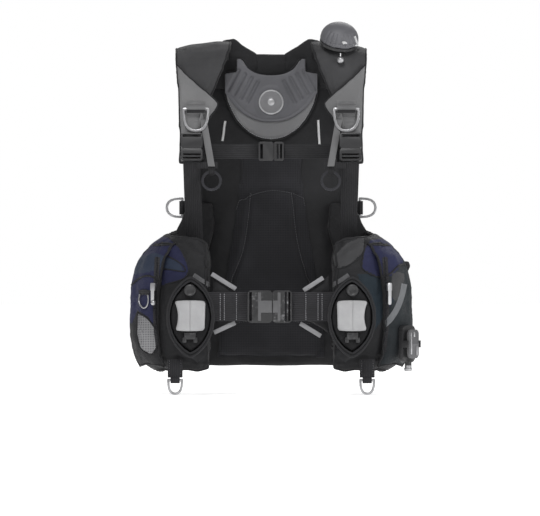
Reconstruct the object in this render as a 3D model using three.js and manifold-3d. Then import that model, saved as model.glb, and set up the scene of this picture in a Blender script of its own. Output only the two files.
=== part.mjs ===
// Buoyancy compensator vest for scuba diving: a jacket with an air cell on the back, two side lobes that
// wrap to the front, padded shoulder straps, weight holsters, pockets, valves and a tank band.
// Millimetres. Origin: middle of the tank pad's rear face. +Y points back to the tank, +Z up,
// +X to the wearer's left. The vest opens towards -Y.

import * as THREE from "three";
import { mergeVertices } from "three/addons/utils/BufferGeometryUtils.js";
import Module from "manifold-3d";

// ---------- driving dimensions ----------
const TOUCH = 0.4; // gap between pieces that touch
const FREE = 1.2; // gap between pieces that pass each other

// tank and backpack
const TANK_RADIUS = 92;
const TANK_PAD = { halfWidth: 38, bottom: -60, top: 120, thick: 5.6 };
const PLATE = { slotMargin: 14, bottom: -150, top: 212, thick: 8, corner: 40 };
const RAIL = { inner: 48, outer: 80, bottom: -90, top: 150, clearance: 1.2 };
const BAND = { thick: 3, width: 50, middle: 30, slack: 3, slotPlay: 2 };
const CAM = {
  pinRadius: 2.5, pinPlay: 0.35, hubRadius: 6,
  leverLength: 62, leverThick: 6, halfBase: 22, plate: 3,
};
const HANDLE = { halfSpan: 55, foot: 15, halfArch: 27, rise: 24, thick: 4, width: 25, drop: 6 };

// jacket back
const SHELL = { thick: 28, halfWaist: 128, halfChest: 150, halfShoulder: 165, bottom: -290, top: 222 };
const COLLAR = { halfWidth: 60, top: 274, thick: 20 };
const BACK_PAD = { thick: 12, top: 104, bottom: -275, halfTop: 62, halfBottom: 104 };
const YOKE = {
  thick: 9, bottom: 111, halfWidth: 85, side: 192, shoulder: 236, neck: 233, ear: 262, halfNeck: 46,
};
const YOKE_STRAP_GAP = 4; // between the yoke's ears and the strap's inner edge
const YOKE_PLATE = { thick: 5, bottom: 147, rim: 3.5, corner: 199 };
const BADGE = { radius: 22, height: 182, thick: 3 };

// shoulder straps: an arc over the shoulder, then a straight fall that leans forward
const ARC = { y: -92, z: 225, radius: 48, lean: 8 };
const STRAP = {
  thick: 14,
  innerTop: 68,
  outerTop: 170,
  innerLow: 116,
  outerLow: 163,
  fall: 166,
  tilt: 0.14,
};
const PAD = { thick: 8, tipDrop: 56, outerStart: -14, innerWide: 88 };
const CHEST_RING = { x: 131, width: 47, drop: 41, wire: 4.5, barDrop: 70 };
const KEEPER = { hole: 3.8, wall: 2, widthPlay: 6 };
const PLUG_OVERHANG = 4; // how far above the strap's lower end the buckle plug ends
const LOWER_STRAP = { width: 30, thick: 3, endX: 134, endY: -150, endZ: -62, tailX: 103.5 };
const SHOULDER_BUCKLE = {
  x: 138,
  width: 38,
  thick: 11,
  socket: 27,
  plug: 22,
  insert: 16,
  webbing: LOWER_STRAP.width,
};
const PULL_RING = { radius: 18, wire: 4.5, hole: 4.3, loopWidth: 10 };
const SIDE_RING = { z: -4, width: 37, drop: 30, wire: 4.5, tab: 24 };

// side lobes, on a plan curve that runs from the back round to the front
const LOBE = { x: 130, y: -118, depth: 84, thick: 46, thickBack: 28, frontEnd: 104 };
const LOBE_REACH = [[-299, 72], [-270, 84], [-219, 90], [-144, 86], [-90, 76], [-45, 50]];
const LOBE_TOP = [[0, -34], [0.5, -44], [1, -50], [2, -62]];
const LOBE_BOTTOM = [[0, -290], [0.5, -299], [1, -296], [2, -288]];
const POCKET = { from: 0.585, to: 0.83, top: -62, bottom: -285, thick: 14 };
const HOLSTER = { x: 139, z: -195, halfWidth: 41, halfHeight: 71, depth: 24, wall: 4, floor: 3 };
const POUCH = { play: 2, handleWidth: 52, handleHeight: 53, handleThick: 6, neck: 10 };
const ZIP = { angle: -55, z: -150, width: 9, length: 14, thick: 5, pull: 24 };
const BOTTOM_RING = {
  x: 166,
  width: 28,
  drop: 26,
  wire: 4.5,
  barZ: -304,
  tabWidth: 26,
  tabTop: -268,
  loopWidth: 16,
};

// belt and sternum strap
const WEBBING = { thick: 3, sternumThick: 2.5 };
const BELT = { z: -177, width: 50, end: 150 };
const WING = {
  outer: 103,
  inner: 58,
  topOuter: -119,
  bottomOuter: -228,
  topInner: -150,
  bottomInner: -204,
  thick: 10,
};
const WAIST_BUCKLE = {
  mouthX: 2,
  width: 56,
  thick: 11,
  socket: 43,
  plug: 34,
  insert: 24,
  webbing: BELT.width,
};
const STERNUM = { z: 93, width: 25, end: 126, behind: 153.5 };
const STERNUM_BUCKLE = {
  mouthX: 4,
  width: 33,
  thick: 9,
  socket: 26,
  plug: 18,
  insert: 14,
  webbing: STERNUM.width,
};

// valves and power inflator
const VALVE = { x: 118, lean: 28, radius: 30, thick: 6, coverRadius: 34, coverHeight: 33 };
const VALVE_KNOB = { radius: 6.5, stem: 13, stemRadius: 1.6, y: -157, z: 252, lean: 20.5 };
const REAR_VALVE = { x: 100, z: -235, radius: 22, thick: 11, knob: 5.5, cordDrop: 10 };
const INFLATOR = {
  standOff: 4,
  angle: -38,
  z: -242,
  width: 36,
  height: 64,
  thick: 9,
  lever: 50,
  pin: 2,
  inletRadius: 6,
  inletLength: 15,
};

// derived places
const plateRear = -TANK_PAD.thick - TOUCH;
const plateFront = plateRear - PLATE.thick;
const bandInner = TANK_RADIUS + BAND.slack;
const bandOuter = bandInner + BAND.thick;
const bandFront = plateFront - FREE - BAND.thick;
const shellRear = bandFront - 2 * FREE;
const shellFront = shellRear - SHELL.thick;
const shellMiddle = (shellRear + shellFront) / 2;
const padRear = shellFront - FREE;
const yokeFront = padRear - YOKE.thick;
const lobeFront = LOBE.y - LOBE.depth - LOBE.thick / 2;
const webbingRear = lobeFront - FREE;
const webbingFront = webbingRear - WEBBING.thick;
const fittingRear = webbingFront - FREE;
const radians = Math.PI / 180;

// ---------- joining and cutting ----------
const wasm = await Module();
wasm.setup();

function toSolid(geometry) {
  const bare = geometry.clone();
  bare.deleteAttribute("normal");
  bare.deleteAttribute("uv");
  const merged = mergeVertices(bare, 1e-4);
  const vertProperties = Float32Array.from(merged.attributes.position.array);
  const triVerts = Uint32Array.from(merged.index.array);
  return new wasm.Manifold(new wasm.Mesh({ numProp: 3, vertProperties, triVerts }));
}

function toGeometry(solid) {
  const mesh = solid.getMesh();
  const geometry = new THREE.BufferGeometry();
  geometry.setAttribute("position", new THREE.BufferAttribute(Float32Array.from(mesh.vertProperties), 3));
  geometry.setIndex(Array.from(mesh.triVerts));
  return geometry;
}

function join(first, ...others) {
  return toGeometry(others.reduce((solid, other) => solid.add(toSolid(other)), toSolid(first)));
}

function cut(first, ...others) {
  return toGeometry(others.reduce((solid, other) => solid.subtract(toSolid(other)), toSolid(first)));
}

// ---------- basic shapes ----------
function boxBetween(low, high) {
  const size = high.map((value, axis) => value - low[axis]);
  const middle = high.map((value, axis) => (value + low[axis]) / 2);
  return new THREE.BoxGeometry(...size).translate(...middle);
}

// a cylinder along "x", "y" or "z" between two places on that axis
function rod(axis, from, to, radius, at, sides = 16) {
  const geometry = new THREE.CylinderGeometry(radius, radius, to - from, sides);
  if (axis === "x") geometry.rotateZ(-Math.PI / 2);
  if (axis === "z") geometry.rotateX(Math.PI / 2);
  const middle = (from + to) / 2;
  const place = { x: [middle, at[0], at[1]], y: [at[0], middle, at[1]], z: [at[0], at[1], middle] }[axis];
  return geometry.translate(...place);
}

// the points of an outline, without the ones that fall on their neighbour
function cleanLoop(points) {
  const near = 1e-3;
  return points.filter((point, i) => point.distanceTo(points[(i + 1) % points.length]) > near);
}

function thicken(outline, depth, curveSegments) {
  const loops = outline.extractPoints(curveSegments);
  const shape = new THREE.Shape(cleanLoop(loops.shape));
  shape.holes = loops.holes.map((points) => new THREE.Path(cleanLoop(points)));
  return new THREE.ExtrudeGeometry(shape, { depth, bevelEnabled: false, curveSegments: 1 });
}

// an outline drawn in X and Z, between two depths
function plateXZ(outline, front, rear, curveSegments = 8) {
  return thicken(outline, rear - front, curveSegments).rotateX(Math.PI / 2).translate(0, rear, 0);
}

// an outline drawn in X and Y, between two heights
function plateXY(outline, bottom, top, curveSegments = 8) {
  return thicken(outline, top - bottom, curveSegments).translate(0, 0, bottom);
}

function roundedOutline(left, right, bottom, top, corner) {
  const shape = new THREE.Shape();
  shape.moveTo(left + corner, bottom);
  shape.lineTo(right - corner, bottom);
  shape.absarc(right - corner, bottom + corner, corner, -Math.PI / 2, 0, false);
  shape.absarc(right - corner, top - corner, corner, 0, Math.PI / 2, false);
  shape.absarc(left + corner, top - corner, corner, Math.PI / 2, Math.PI, false);
  shape.absarc(left + corner, bottom + corner, corner, Math.PI, Math.PI * 1.5, false);
  return shape;
}

function mix(a, b, t) {
  return a + (b - a) * t;
}

function smooth(t) {
  const held = Math.min(1, Math.max(0, t));
  return held * held * (3 - 2 * held);
}

// a value that runs smoothly through a few [place, value] pairs
function through(pairs, place) {
  const last = pairs.length - 1;
  if (place <= pairs[0][0]) return pairs[0][1];
  if (place >= pairs[last][0]) return pairs[last][1];
  const index = pairs.findIndex((pair) => pair[0] > place) - 1;
  const [from, to] = [pairs[index], pairs[index + 1]];
  return mix(from[1], to[1], smooth((place - from[0]) / (to[0] - from[0])));
}

// thickness share across a padded piece: full in the middle, "edge" at the rim
function crown(t, edge) {
  return edge + (1 - edge) * Math.sqrt(1 - Math.abs(2 * t - 1) ** 4);
}

function volumeOf(geometry) {
  const place = geometry.attributes.position;
  const [a, b, c] = [new THREE.Vector3(), new THREE.Vector3(), new THREE.Vector3()];
  let volume = 0;
  for (let i = 0; i < geometry.index.count; i += 3) {
    a.fromBufferAttribute(place, geometry.index.getX(i));
    b.fromBufferAttribute(place, geometry.index.getX(i + 1));
    c.fromBufferAttribute(place, geometry.index.getX(i + 2));
    volume += a.dot(b.cross(c)) / 6;
  }
  return volume;
}

// a closed block whose unit coordinates u, v, w are each sent to a place
function bentBlock(stepsU, stepsV, stepsW, placeAt) {
  const geometry = new THREE.BoxGeometry(1, 1, 1, stepsU, stepsV, stepsW);
  const place = geometry.attributes.position;
  for (let i = 0; i < place.count; i += 1) {
    const point = placeAt(place.getX(i) + 0.5, place.getY(i) + 0.5, place.getZ(i) + 0.5);
    place.setXYZ(i, point.x, point.y, point.z);
  }
  if (volumeOf(geometry) < 0) {
    const turned = [];
    for (let i = 0; i < geometry.index.count; i += 3) {
      turned.push(geometry.index.getX(i), geometry.index.getX(i + 2), geometry.index.getX(i + 1));
    }
    geometry.setIndex(turned);
  }
  return geometry;
}

// ---------- materials ----------
function finish(color, roughness, metalness = 0) {
  return new THREE.MeshStandardMaterial({ color, roughness, metalness });
}

const blackCloth = finish(0x2b2b2e, 0.85);
const greyCloth = finish(0x6a6a6c, 0.8);
const navyCloth = finish(0x282c52, 0.8);
const meshCloth = finish(0x2a2a2c, 0.95);
const webbingCloth = finish(0x37363b, 0.75);
const blackPlastic = finish(0x232325, 0.5);
const greyPlastic = finish(0x9c9da0, 0.5);
const domePlastic = finish(0x666668, 0.45);
const badgePlastic = finish(0xa5a6a8, 0.35);
const padRubber = finish(0x1c1c1d, 0.9);
const steel = finish(0xb4b5b7, 0.3, 1);
const darkSteel = finish(0x55565a, 0.4, 1);

const vest = new THREE.Group();

function add(name, geometry, material, parent = vest) {
  const mesh = new THREE.Mesh(geometry, material);
  mesh.name = name;
  parent.add(mesh);
  return mesh;
}

const sides = [["left", 1], ["right", -1]];

// ---------- backpack and tank band ----------
// moulded rail that cradles the tank: its slope follows the tank's round side
function tankRail(side) {
  const onTank = (x) => TANK_RADIUS - Math.sqrt(TANK_RADIUS ** 2 - x ** 2) - RAIL.clearance;
  const crest = (RAIL.inner + RAIL.outer) / 2;
  const root = plateRear - 1;
  const shape = new THREE.Shape();
  shape.moveTo(side * RAIL.inner, root);
  shape.lineTo(side * RAIL.outer, root);
  shape.lineTo(side * (RAIL.outer - 4), onTank(crest) * 0.6);
  shape.lineTo(side * (crest + 4), onTank(crest));
  shape.lineTo(side * crest, onTank(crest));
  shape.lineTo(side * (RAIL.inner + 2), onTank(RAIL.inner + 2));
  return plateXY(shape, RAIL.bottom, RAIL.top);
}

function backpackPlate() {
  const halfWidth = bandOuter + PLATE.slotMargin;
  const outline = roundedOutline(-halfWidth, halfWidth, PLATE.bottom, PLATE.top, PLATE.corner);
  const slots = [];
  for (const side of [1, -1]) {
    const play = [bandInner - BAND.slotPlay, bandOuter + BAND.slotPlay];
    const edges = play.map((x) => side * x).sort((a, b) => a - b);
    const halfSlot = BAND.width / 2 + BAND.slotPlay;
    const low = [edges[0], plateFront - 1, BAND.middle - halfSlot];
    slots.push(boxBetween(low, [edges[1], plateRear + 1, BAND.middle + halfSlot]));
  }
  const rails = join(tankRail(1), tankRail(-1));
  return join(cut(plateXZ(outline, plateFront, plateRear), ...slots), rails);
}

function tankPad() {
  const { halfWidth, bottom, top, thick } = TANK_PAD;
  return plateXZ(roundedOutline(-halfWidth, halfWidth, bottom, top, 12), -thick, 0);
}

// D-shaped band: round the tank, through the slots and across the front of the plate
function bandOutline(path, radius, front) {
  path.moveTo(-radius, front);
  path.lineTo(radius, front);
  path.lineTo(radius, TANK_RADIUS);
  path.absarc(0, TANK_RADIUS, radius, 0, Math.PI, false);
  path.closePath();
  return path;
}

function tankBand() {
  const outline = bandOutline(new THREE.Shape(), bandOuter, bandFront);
  outline.holes.push(bandOutline(new THREE.Path(), bandInner, bandFront + BAND.thick));
  return plateXY(outline, BAND.middle - BAND.width / 2, BAND.middle + BAND.width / 2, 20);
}

const camBase = TANK_RADIUS + bandOuter + TOUCH;
const camPin = camBase + CAM.plate + CAM.hubRadius + FREE;
const camHalf = BAND.width / 2 + 5;

function camFrame() {
  const base = boxBetween(
    [-CAM.halfBase, camBase, BAND.middle - camHalf],
    [CAM.halfBase, camBase + CAM.plate, BAND.middle + camHalf],
  );
  const ears = [-1, 1].map((end) => {
    const heights = [end * camHalf, end * (camHalf - CAM.plate)].sort((a, b) => a - b);
    const low = [-CAM.hubRadius - 2, camBase, BAND.middle + heights[0]];
    return boxBetween(low, [CAM.hubRadius + 2, camPin + CAM.pinRadius + 3, BAND.middle + heights[1]]);
  });
  const pin = rod("z", BAND.middle - camHalf + 1, BAND.middle + camHalf - 1, CAM.pinRadius, [0, camPin]);
  return join(base, ...ears, pin);
}

function camLever() {
  const half = camHalf - CAM.plate - FREE;
  const [bottom, top] = [BAND.middle - half, BAND.middle + half];
  const hub = rod("z", bottom, top, CAM.hubRadius, [0, camPin], 20);
  const low = [0, camPin + CAM.hubRadius - CAM.leverThick, bottom];
  const arm = boxBetween(low, [CAM.leverLength, camPin + CAM.hubRadius, top]);
  const hole = rod("z", bottom - 1, top + 1, CAM.pinRadius + CAM.pinPlay, [0, camPin], 16);
  return cut(join(hub, arm), hole);
}

function carryHandle() {
  const { halfSpan, foot, halfArch, rise, thick } = HANDLE;
  const base = plateRear + TOUCH;
  const outer = [[-halfSpan, base], [-halfSpan, base + thick], [-halfSpan + foot, base + thick]];
  outer.push([-halfArch, base + rise], [halfArch, base + rise], [halfSpan - foot, base + thick]);
  outer.push([halfSpan, base + thick], [halfSpan, base], [halfSpan - foot - 3, base]);
  outer.push([halfArch - 3, base + rise - thick], [-halfArch + 3, base + rise - thick]);
  outer.push([-halfSpan + foot + 3, base]);
  const shape = new THREE.Shape(outer.map(([x, y]) => new THREE.Vector2(x, y)));
  return plateXY(shape, PLATE.top - HANDLE.drop - HANDLE.width, PLATE.top - HANDLE.drop);
}

add("backpack_plate", backpackPlate(), blackPlastic);
add("tank_pad", tankPad(), padRubber);
add("tank_band", tankBand(), webbingCloth);
add("cam_buckle_frame", camFrame(), darkSteel);
add("cam_buckle_lever", camLever(), blackPlastic);
add("carry_handle", carryHandle(), webbingCloth);

// ---------- jacket back, pads and yoke ----------
function shellHalfWidth(z) {
  const chest = mix(SHELL.halfWaist, SHELL.halfChest, smooth((z - LOBE_TOP[0][1]) / 14));
  return mix(chest, SHELL.halfShoulder, smooth((z - 120) / (SHELL.top - 120)));
}

function airCell() {
  const back = bentBlock(8, 14, 1, (u, v, w) => {
    const z = mix(SHELL.bottom, SHELL.top, v);
    const depth = (w - 0.5) * SHELL.thick * crown(u, 0.55) * crown(v, 0.6);
    return new THREE.Vector3((2 * u - 1) * shellHalfWidth(z), shellMiddle + depth, z);
  });
  const collar = bentBlock(8, 3, 1, (u, v, w) => {
    const dip = 5 * crown(u, 0);
    const z = mix(SHELL.top - 8, COLLAR.top - dip, v);
    const depth = (w - 0.5) * COLLAR.thick * crown(v, 0.7);
    return new THREE.Vector3((2 * u - 1) * COLLAR.halfWidth, shellMiddle + depth, z);
  });
  return join(back, collar);
}

function backPad() {
  return bentBlock(8, 12, 1, (u, v, w) => {
    const z = mix(BACK_PAD.bottom, BACK_PAD.top, v);
    const half = mix(BACK_PAD.halfBottom, BACK_PAD.halfTop, smooth(v));
    const depth = w * BACK_PAD.thick * crown(u, 0.4) * crown(v, 0.4);
    return new THREE.Vector3((2 * u - 1) * half, padRear - depth, z);
  });
}

function yokePanel() {
  const { bottom, halfWidth, side, shoulder, neck, ear, halfNeck } = YOKE;
  const inner = STRAP.innerTop - YOKE_STRAP_GAP;
  const shape = new THREE.Shape();
  shape.moveTo(0, bottom);
  shape.bezierCurveTo(halfWidth * 0.5, bottom, halfWidth * 0.87, bottom + 37, halfWidth, side);
  shape.lineTo(halfWidth, shoulder);
  shape.lineTo(inner, shoulder + 3);
  shape.lineTo(inner, ear);
  shape.lineTo(halfNeck + 4, ear);
  shape.bezierCurveTo(halfNeck * 0.8, neck + 4, halfNeck * 0.4, neck, 0, neck);
  shape.bezierCurveTo(-halfNeck * 0.4, neck, -halfNeck * 0.8, neck + 4, -halfNeck - 4, ear);
  shape.lineTo(-inner, ear);
  shape.lineTo(-inner, shoulder + 3);
  shape.lineTo(-halfWidth, shoulder);
  shape.lineTo(-halfWidth, side);
  shape.bezierCurveTo(-halfWidth * 0.87, bottom + 37, -halfWidth * 0.5, bottom, 0, bottom);
  return plateXZ(shape, yokeFront, padRear);
}

function yokePlate() {
  const { bottom, thick, rim, corner } = YOKE_PLATE;
  const wide = YOKE.halfWidth - rim;
  const inner = STRAP.innerTop - YOKE_STRAP_GAP - rim;
  const [shoulder, ear, neck] = [YOKE.shoulder - rim, YOKE.ear - rim, YOKE.neck - rim];
  const halfNeck = YOKE.halfNeck + 4 + rim;
  const shape = new THREE.Shape();
  shape.moveTo(0, bottom);
  shape.bezierCurveTo(wide * 0.42, bottom, wide * 0.72, bottom + 15, wide, corner);
  shape.lineTo(wide, shoulder);
  shape.lineTo(inner, shoulder + 3);
  shape.lineTo(inner, ear);
  shape.lineTo(halfNeck, ear);
  shape.bezierCurveTo(halfNeck * 0.75, neck + 4, halfNeck * 0.4, neck, 0, neck);
  shape.bezierCurveTo(-halfNeck * 0.4, neck, -halfNeck * 0.75, neck + 4, -halfNeck, ear);
  shape.lineTo(-inner, ear);
  shape.lineTo(-inner, shoulder + 3);
  shape.lineTo(-wide, shoulder);
  shape.lineTo(-wide, corner);
  shape.bezierCurveTo(-wide * 0.72, bottom + 15, -wide * 0.42, bottom, 0, bottom);
  return plateXZ(shape, yokeFront - TOUCH - thick, yokeFront - TOUCH);
}

function yokeBadge() {
  const rear = yokeFront - YOKE_PLATE.thick - 2 * TOUCH;
  return rod("y", rear - BADGE.thick, rear, BADGE.radius, [0, BADGE.height], 28);
}

add("air_cell", airCell(), blackCloth);
add("back_pad", backPad(), meshCloth);
add("yoke_panel", yokePanel(), greyCloth);
add("yoke_plate", yokePlate(), domePlastic);
add("yoke_badge", yokeBadge(), badgePlastic);

// ---------- shoulder straps ----------
const lean = ARC.lean * radians;
const arcLength = (Math.PI - lean) * ARC.radius;

// a place on the strap: distance along its inner face from the root, height above that face
function onStrap(x, distance, height) {
  const turned = Math.min(distance, arcLength) / ARC.radius;
  const outward = new THREE.Vector2(Math.cos(turned), Math.sin(turned));
  const point = new THREE.Vector2(ARC.y, ARC.z).addScaledVector(outward, ARC.radius + height);
  const past = Math.max(0, distance - arcLength);
  point.addScaledVector(new THREE.Vector2(-Math.sin(lean), -Math.cos(lean)), past);
  const middle = (STRAP.innerTop + STRAP.outerTop) / 2;
  const lift = STRAP.tilt * (middle - Math.abs(x)) * Math.sin(Math.min(turned, Math.PI)) ** 2;
  return new THREE.Vector3(x, point.x, point.y + lift);
}

function strapEdges(distance) {
  const narrow = smooth((distance - arcLength * 0.55) / (arcLength * 0.45 + STRAP.fall * 0.7));
  return [mix(STRAP.innerTop, STRAP.innerLow, narrow), mix(STRAP.outerTop, STRAP.outerLow, narrow)];
}

function shoulderStrap(side) {
  const start = 2 * FREE;
  return bentBlock(4, 20, 1, (u, v, w) => {
    const distance = mix(start, arcLength + STRAP.fall, v);
    const [inner, outer] = strapEdges(distance);
    const height = STRAP.thick * (0.5 + (w - 0.5) * crown(u, 0.5));
    const point = onStrap(mix(inner, outer, u), distance, height);
    return new THREE.Vector3(side * point.x, point.y, point.z);
  });
}

// grey pad on the strap's front, with its slanted top edge and the webbing keeper of the chest ring
function shoulderPad(side) {
  const base = STRAP.thick + FREE;
  const panel = bentBlock(5, 12, 1, (u, v, w) => {
    const start = mix(PAD.tipDrop, PAD.outerStart, u);
    const distance = arcLength + mix(start, STRAP.fall, v);
    const [, outer] = strapEdges(distance);
    const taper = smooth((distance - arcLength - PAD.tipDrop) / (CHEST_RING.barDrop + 40 - PAD.tipDrop));
    const inner = mix(PAD.innerWide, STRAP.innerLow + 2, taper);
    const height = base + w * PAD.thick * crown(u, 0.5);
    const point = onStrap(mix(inner, outer, u), distance, height);
    return new THREE.Vector3(side * point.x, point.y, point.z);
  });
  const radius = KEEPER.hole + KEEPER.wall;
  const barY = ARC.radius + base + PAD.thick + KEEPER.hole;
  const width = CHEST_RING.width - 2 * CHEST_RING.wire - KEEPER.widthPlay;
  const from = side * CHEST_RING.x - width / 2;
  const sleeve = rod("x", from, from + width, radius, [0, 0], 14);
  const hole = rod("x", from - 1, from + width + 1, KEEPER.hole, [0, 0], 14);
  const foot = boxBetween([from, 0, 0], [from + width, KEEPER.hole + PAD.thick / 2, radius]);
  const keeper = toGeometry(toSolid(join(sleeve, foot)).subtract(toSolid(hole)));
  const matrix = new THREE.Matrix4().makeRotationX(-lean);
  const bar = strapFrame(barY - ARC.radius, CHEST_RING.barDrop);
  keeper.applyMatrix4(matrix).translate(0, bar.y, bar.z);
  return join(panel, keeper);
}

// where a height above the strap's inner face and a drop down its straight fall lie
function strapFrame(height, drop) {
  const point = onStrap((STRAP.innerTop + STRAP.outerTop) / 2, arcLength + drop, height);
  return new THREE.Vector3(0, point.y, point.z);
}

// a group whose -Z runs down the straight fall and whose -Y points out of it
function strapGroup(height, drop) {
  const group = new THREE.Group();
  group.position.copy(strapFrame(height, drop));
  group.rotation.x = -lean;
  vest.add(group);
  return group;
}

// D-ring in X and Z: straight bar on top at height 0, round below
function ringOutline(path, half, top, bottom) {
  const corner = half * 0.3;
  path.moveTo(-half + corner, top);
  path.bezierCurveTo(-half, top, -half, top, -half, top - corner);
  path.bezierCurveTo(-half, bottom * 0.75, -half * 0.6, bottom, 0, bottom);
  path.bezierCurveTo(half * 0.6, bottom, half, bottom * 0.75, half, top - corner);
  path.bezierCurveTo(half, top, half, top, half - corner, top);
  path.closePath();
  return path;
}

function dRing(width, drop, wire) {
  const shape = ringOutline(new THREE.Shape(), width / 2, wire / 2, -drop);
  shape.holes.push(ringOutline(new THREE.Path(), width / 2 - wire, -wire / 2, wire - drop));
  return plateXZ(shape, -wire / 2, wire / 2, 5);
}

// ---------- side-release buckles ----------
// local frame: socket above its mouth at Z 0, plug below, X across, Y through the thickness
function buckleSocket({ width, thick, socket, insert, webbing }) {
  const wall = 2;
  const outline = roundedOutline(-width / 2, width / 2, 0, socket, width * 0.12);
  const body = plateXZ(outline, -thick / 2, thick / 2, 4);
  const inside = thick / 2 - wall;
  const side = width / 2;
  const cavity = boxBetween([wall + 1 - side, -inside, -1], [side - wall - 1, inside, insert + 1.5]);
  const window = boxBetween([-side - 1, -inside, insert * 0.35], [side + 1, inside, insert * 0.75]);
  const half = webbing / 2 + 0.5;
  const slot = boxBetween([-half, -thick, socket - 7.5], [half, thick, socket - 3]);
  return cut(body, cavity, window, slot);
}

function bucklePlug({ width, thick, plug, insert, webbing }) {
  const wall = 2;
  const outline = roundedOutline(-width / 2, width / 2, -plug, -TOUCH, width * 0.12);
  const body = plateXZ(outline, -thick / 2, thick / 2, 4);
  const inside = thick / 2 - wall - TOUCH;
  const reach = width / 2 - wall - 1 - TOUCH;
  const prong = width * 0.13;
  const right = boxBetween([reach - prong, -inside, -2], [reach, inside, insert]);
  const left = boxBetween([-reach, -inside, -2], [-reach + prong, inside, insert]);
  const tongue = boxBetween([-prong / 2, -inside, -2], [prong / 2, inside, insert * 0.8]);
  const half = webbing / 2 + 0.5;
  const lows = [3 - plug, 9 - plug];
  const slots = lows.map((low) => boxBetween([-half, -thick, low], [half, thick, low + 3.5]));
  return cut(join(body, right, left, tongue), ...slots);
}

// ---------- shoulder strap fittings ----------
const padFace = STRAP.thick + FREE + PAD.thick;
const plugEndDrop = STRAP.fall - PLUG_OVERHANG;
const mouthDrop = plugEndDrop - SHOULDER_BUCKLE.plug;

// webbing from the plug to the inside of the lobe, with the tail that carries the pull ring
function lowerStrap(side) {
  const { width, thick } = LOWER_STRAP;
  const top = strapFrame(padFace + FREE + SHOULDER_BUCKLE.thick / 2, plugEndDrop + 1);
  const end = new THREE.Vector3(LOWER_STRAP.endX, LOWER_STRAP.endY, LOWER_STRAP.endZ);
  const web = bentBlock(1, 6, 1, (u, v, w) => {
    const x = mix(SHOULDER_BUCKLE.x, end.x, smooth(v)) + (u - 0.5) * width;
    const y = mix(top.y, end.y, v) + (w - 0.5) * thick;
    return new THREE.Vector3(side * x, y, mix(top.z, end.z, v));
  });
  const ringBar = pullRingPlace();
  const wide = PULL_RING.loopWidth / 2;
  const radius = PULL_RING.hole + KEEPER.wall;
  const tailSpan = [LOWER_STRAP.tailX - 11, SHOULDER_BUCKLE.x - 8];
  const tailEdges = tailSpan.map((x) => side * x).sort((a, b) => a - b);
  const tailLow = [tailEdges[0], top.y - thick / 2, top.z - 12];
  const tail = boxBetween(tailLow, [tailEdges[1], top.y + thick / 2, top.z - 1]);
  const centre = side * LOWER_STRAP.tailX;
  const loop = rod("x", centre - wide, centre + wide, radius, [ringBar.y, ringBar.z], 14);
  const hole = rod("x", centre - wide - 1, centre + wide + 1, PULL_RING.hole, [ringBar.y, ringBar.z], 14);
  return cut(join(web, tail, loop), hole);
}

function pullRingPlace() {
  const top = strapFrame(padFace + FREE + SHOULDER_BUCKLE.thick / 2, plugEndDrop + 1);
  return { y: top.y, z: top.z - 12 - PULL_RING.hole - KEEPER.wall + 1 };
}

function pullRing() {
  const { radius, wire } = PULL_RING;
  const shape = new THREE.Shape();
  shape.absarc(0, wire / 2 - radius, radius, 0, Math.PI * 2, false);
  const hole = new THREE.Path();
  hole.absarc(0, wire / 2 - radius, radius - wire, 0, Math.PI * 2, true);
  shape.holes.push(hole);
  return plateXZ(shape, -wire / 2, wire / 2, 12);
}

for (const [name, side] of sides) {
  add(`shoulder_strap_${name}`, shoulderStrap(side), blackCloth);
  add(`shoulder_pad_${name}`, shoulderPad(side), greyCloth);
  const ringPlace = strapGroup(padFace + KEEPER.hole, CHEST_RING.barDrop);
  const chestRing = dRing(CHEST_RING.width, CHEST_RING.drop, CHEST_RING.wire);
  const ring = add(`chest_ring_${name}`, chestRing, steel, ringPlace);
  ring.position.x = side * CHEST_RING.x;
  const bucklePlace = strapGroup(padFace + FREE + SHOULDER_BUCKLE.thick / 2, mouthDrop);
  const halves = [buckleSocket(SHOULDER_BUCKLE), bucklePlug(SHOULDER_BUCKLE)];
  const socket = add(`shoulder_buckle_socket_${name}`, halves[0], blackPlastic, bucklePlace);
  const plug = add(`shoulder_buckle_plug_${name}`, halves[1], blackPlastic, bucklePlace);
  socket.position.x = side * SHOULDER_BUCKLE.x;
  plug.position.x = side * SHOULDER_BUCKLE.x;
  add(`lower_strap_${name}`, lowerStrap(side), webbingCloth);
  const hung = pullRingPlace();
  const pull = add(`pull_ring_${name}`, pullRing(), darkSteel);
  pull.position.set(side * LOWER_STRAP.tailX, hung.y, hung.z);
}

// ---------- side rings on the edge of the jacket back ----------
const sideBarX = SHELL.halfChest + FREE + KEEPER.hole + KEEPER.wall;

function sideRingTab(side) {
  const radius = KEEPER.hole + KEEPER.wall;
  const [bottom, top] = [SIDE_RING.z - SIDE_RING.tab / 2, SIDE_RING.z + SIDE_RING.tab / 2];
  const loop = rod("z", bottom, top, radius, [side * sideBarX, shellMiddle], 14);
  const hole = rod("z", bottom - 1, top + 1, KEEPER.hole, [side * sideBarX, shellMiddle], 14);
  return cut(loop, hole);
}

for (const [name, side] of sides) {
  add(`side_ring_tab_${name}`, sideRingTab(side), webbingCloth);
  const ring = add(`side_ring_${name}`, dRing(SIDE_RING.width, SIDE_RING.drop, SIDE_RING.wire), steel);
  ring.position.set(side * sideBarX, shellMiddle, SIDE_RING.z);
  ring.rotation.y = (-side * Math.PI) / 2;
}

// ---------- side lobes, pockets, holsters ----------
// path 0 to 1 is the half ellipse from back to front, 1 to 2 the straight front
function onLobe(side, path, z, height) {
  const reach = through(LOBE_REACH, z) + height;
  const angle = Math.PI / 2 - Math.min(path, 1) * Math.PI;
  const inward = Math.max(0, path - 1) * (LOBE.x - LOBE.frontEnd);
  const x = LOBE.x + reach * Math.cos(angle) - inward;
  return new THREE.Vector3(side * x, LOBE.y + (LOBE.depth + height) * Math.sin(angle), z);
}

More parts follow.
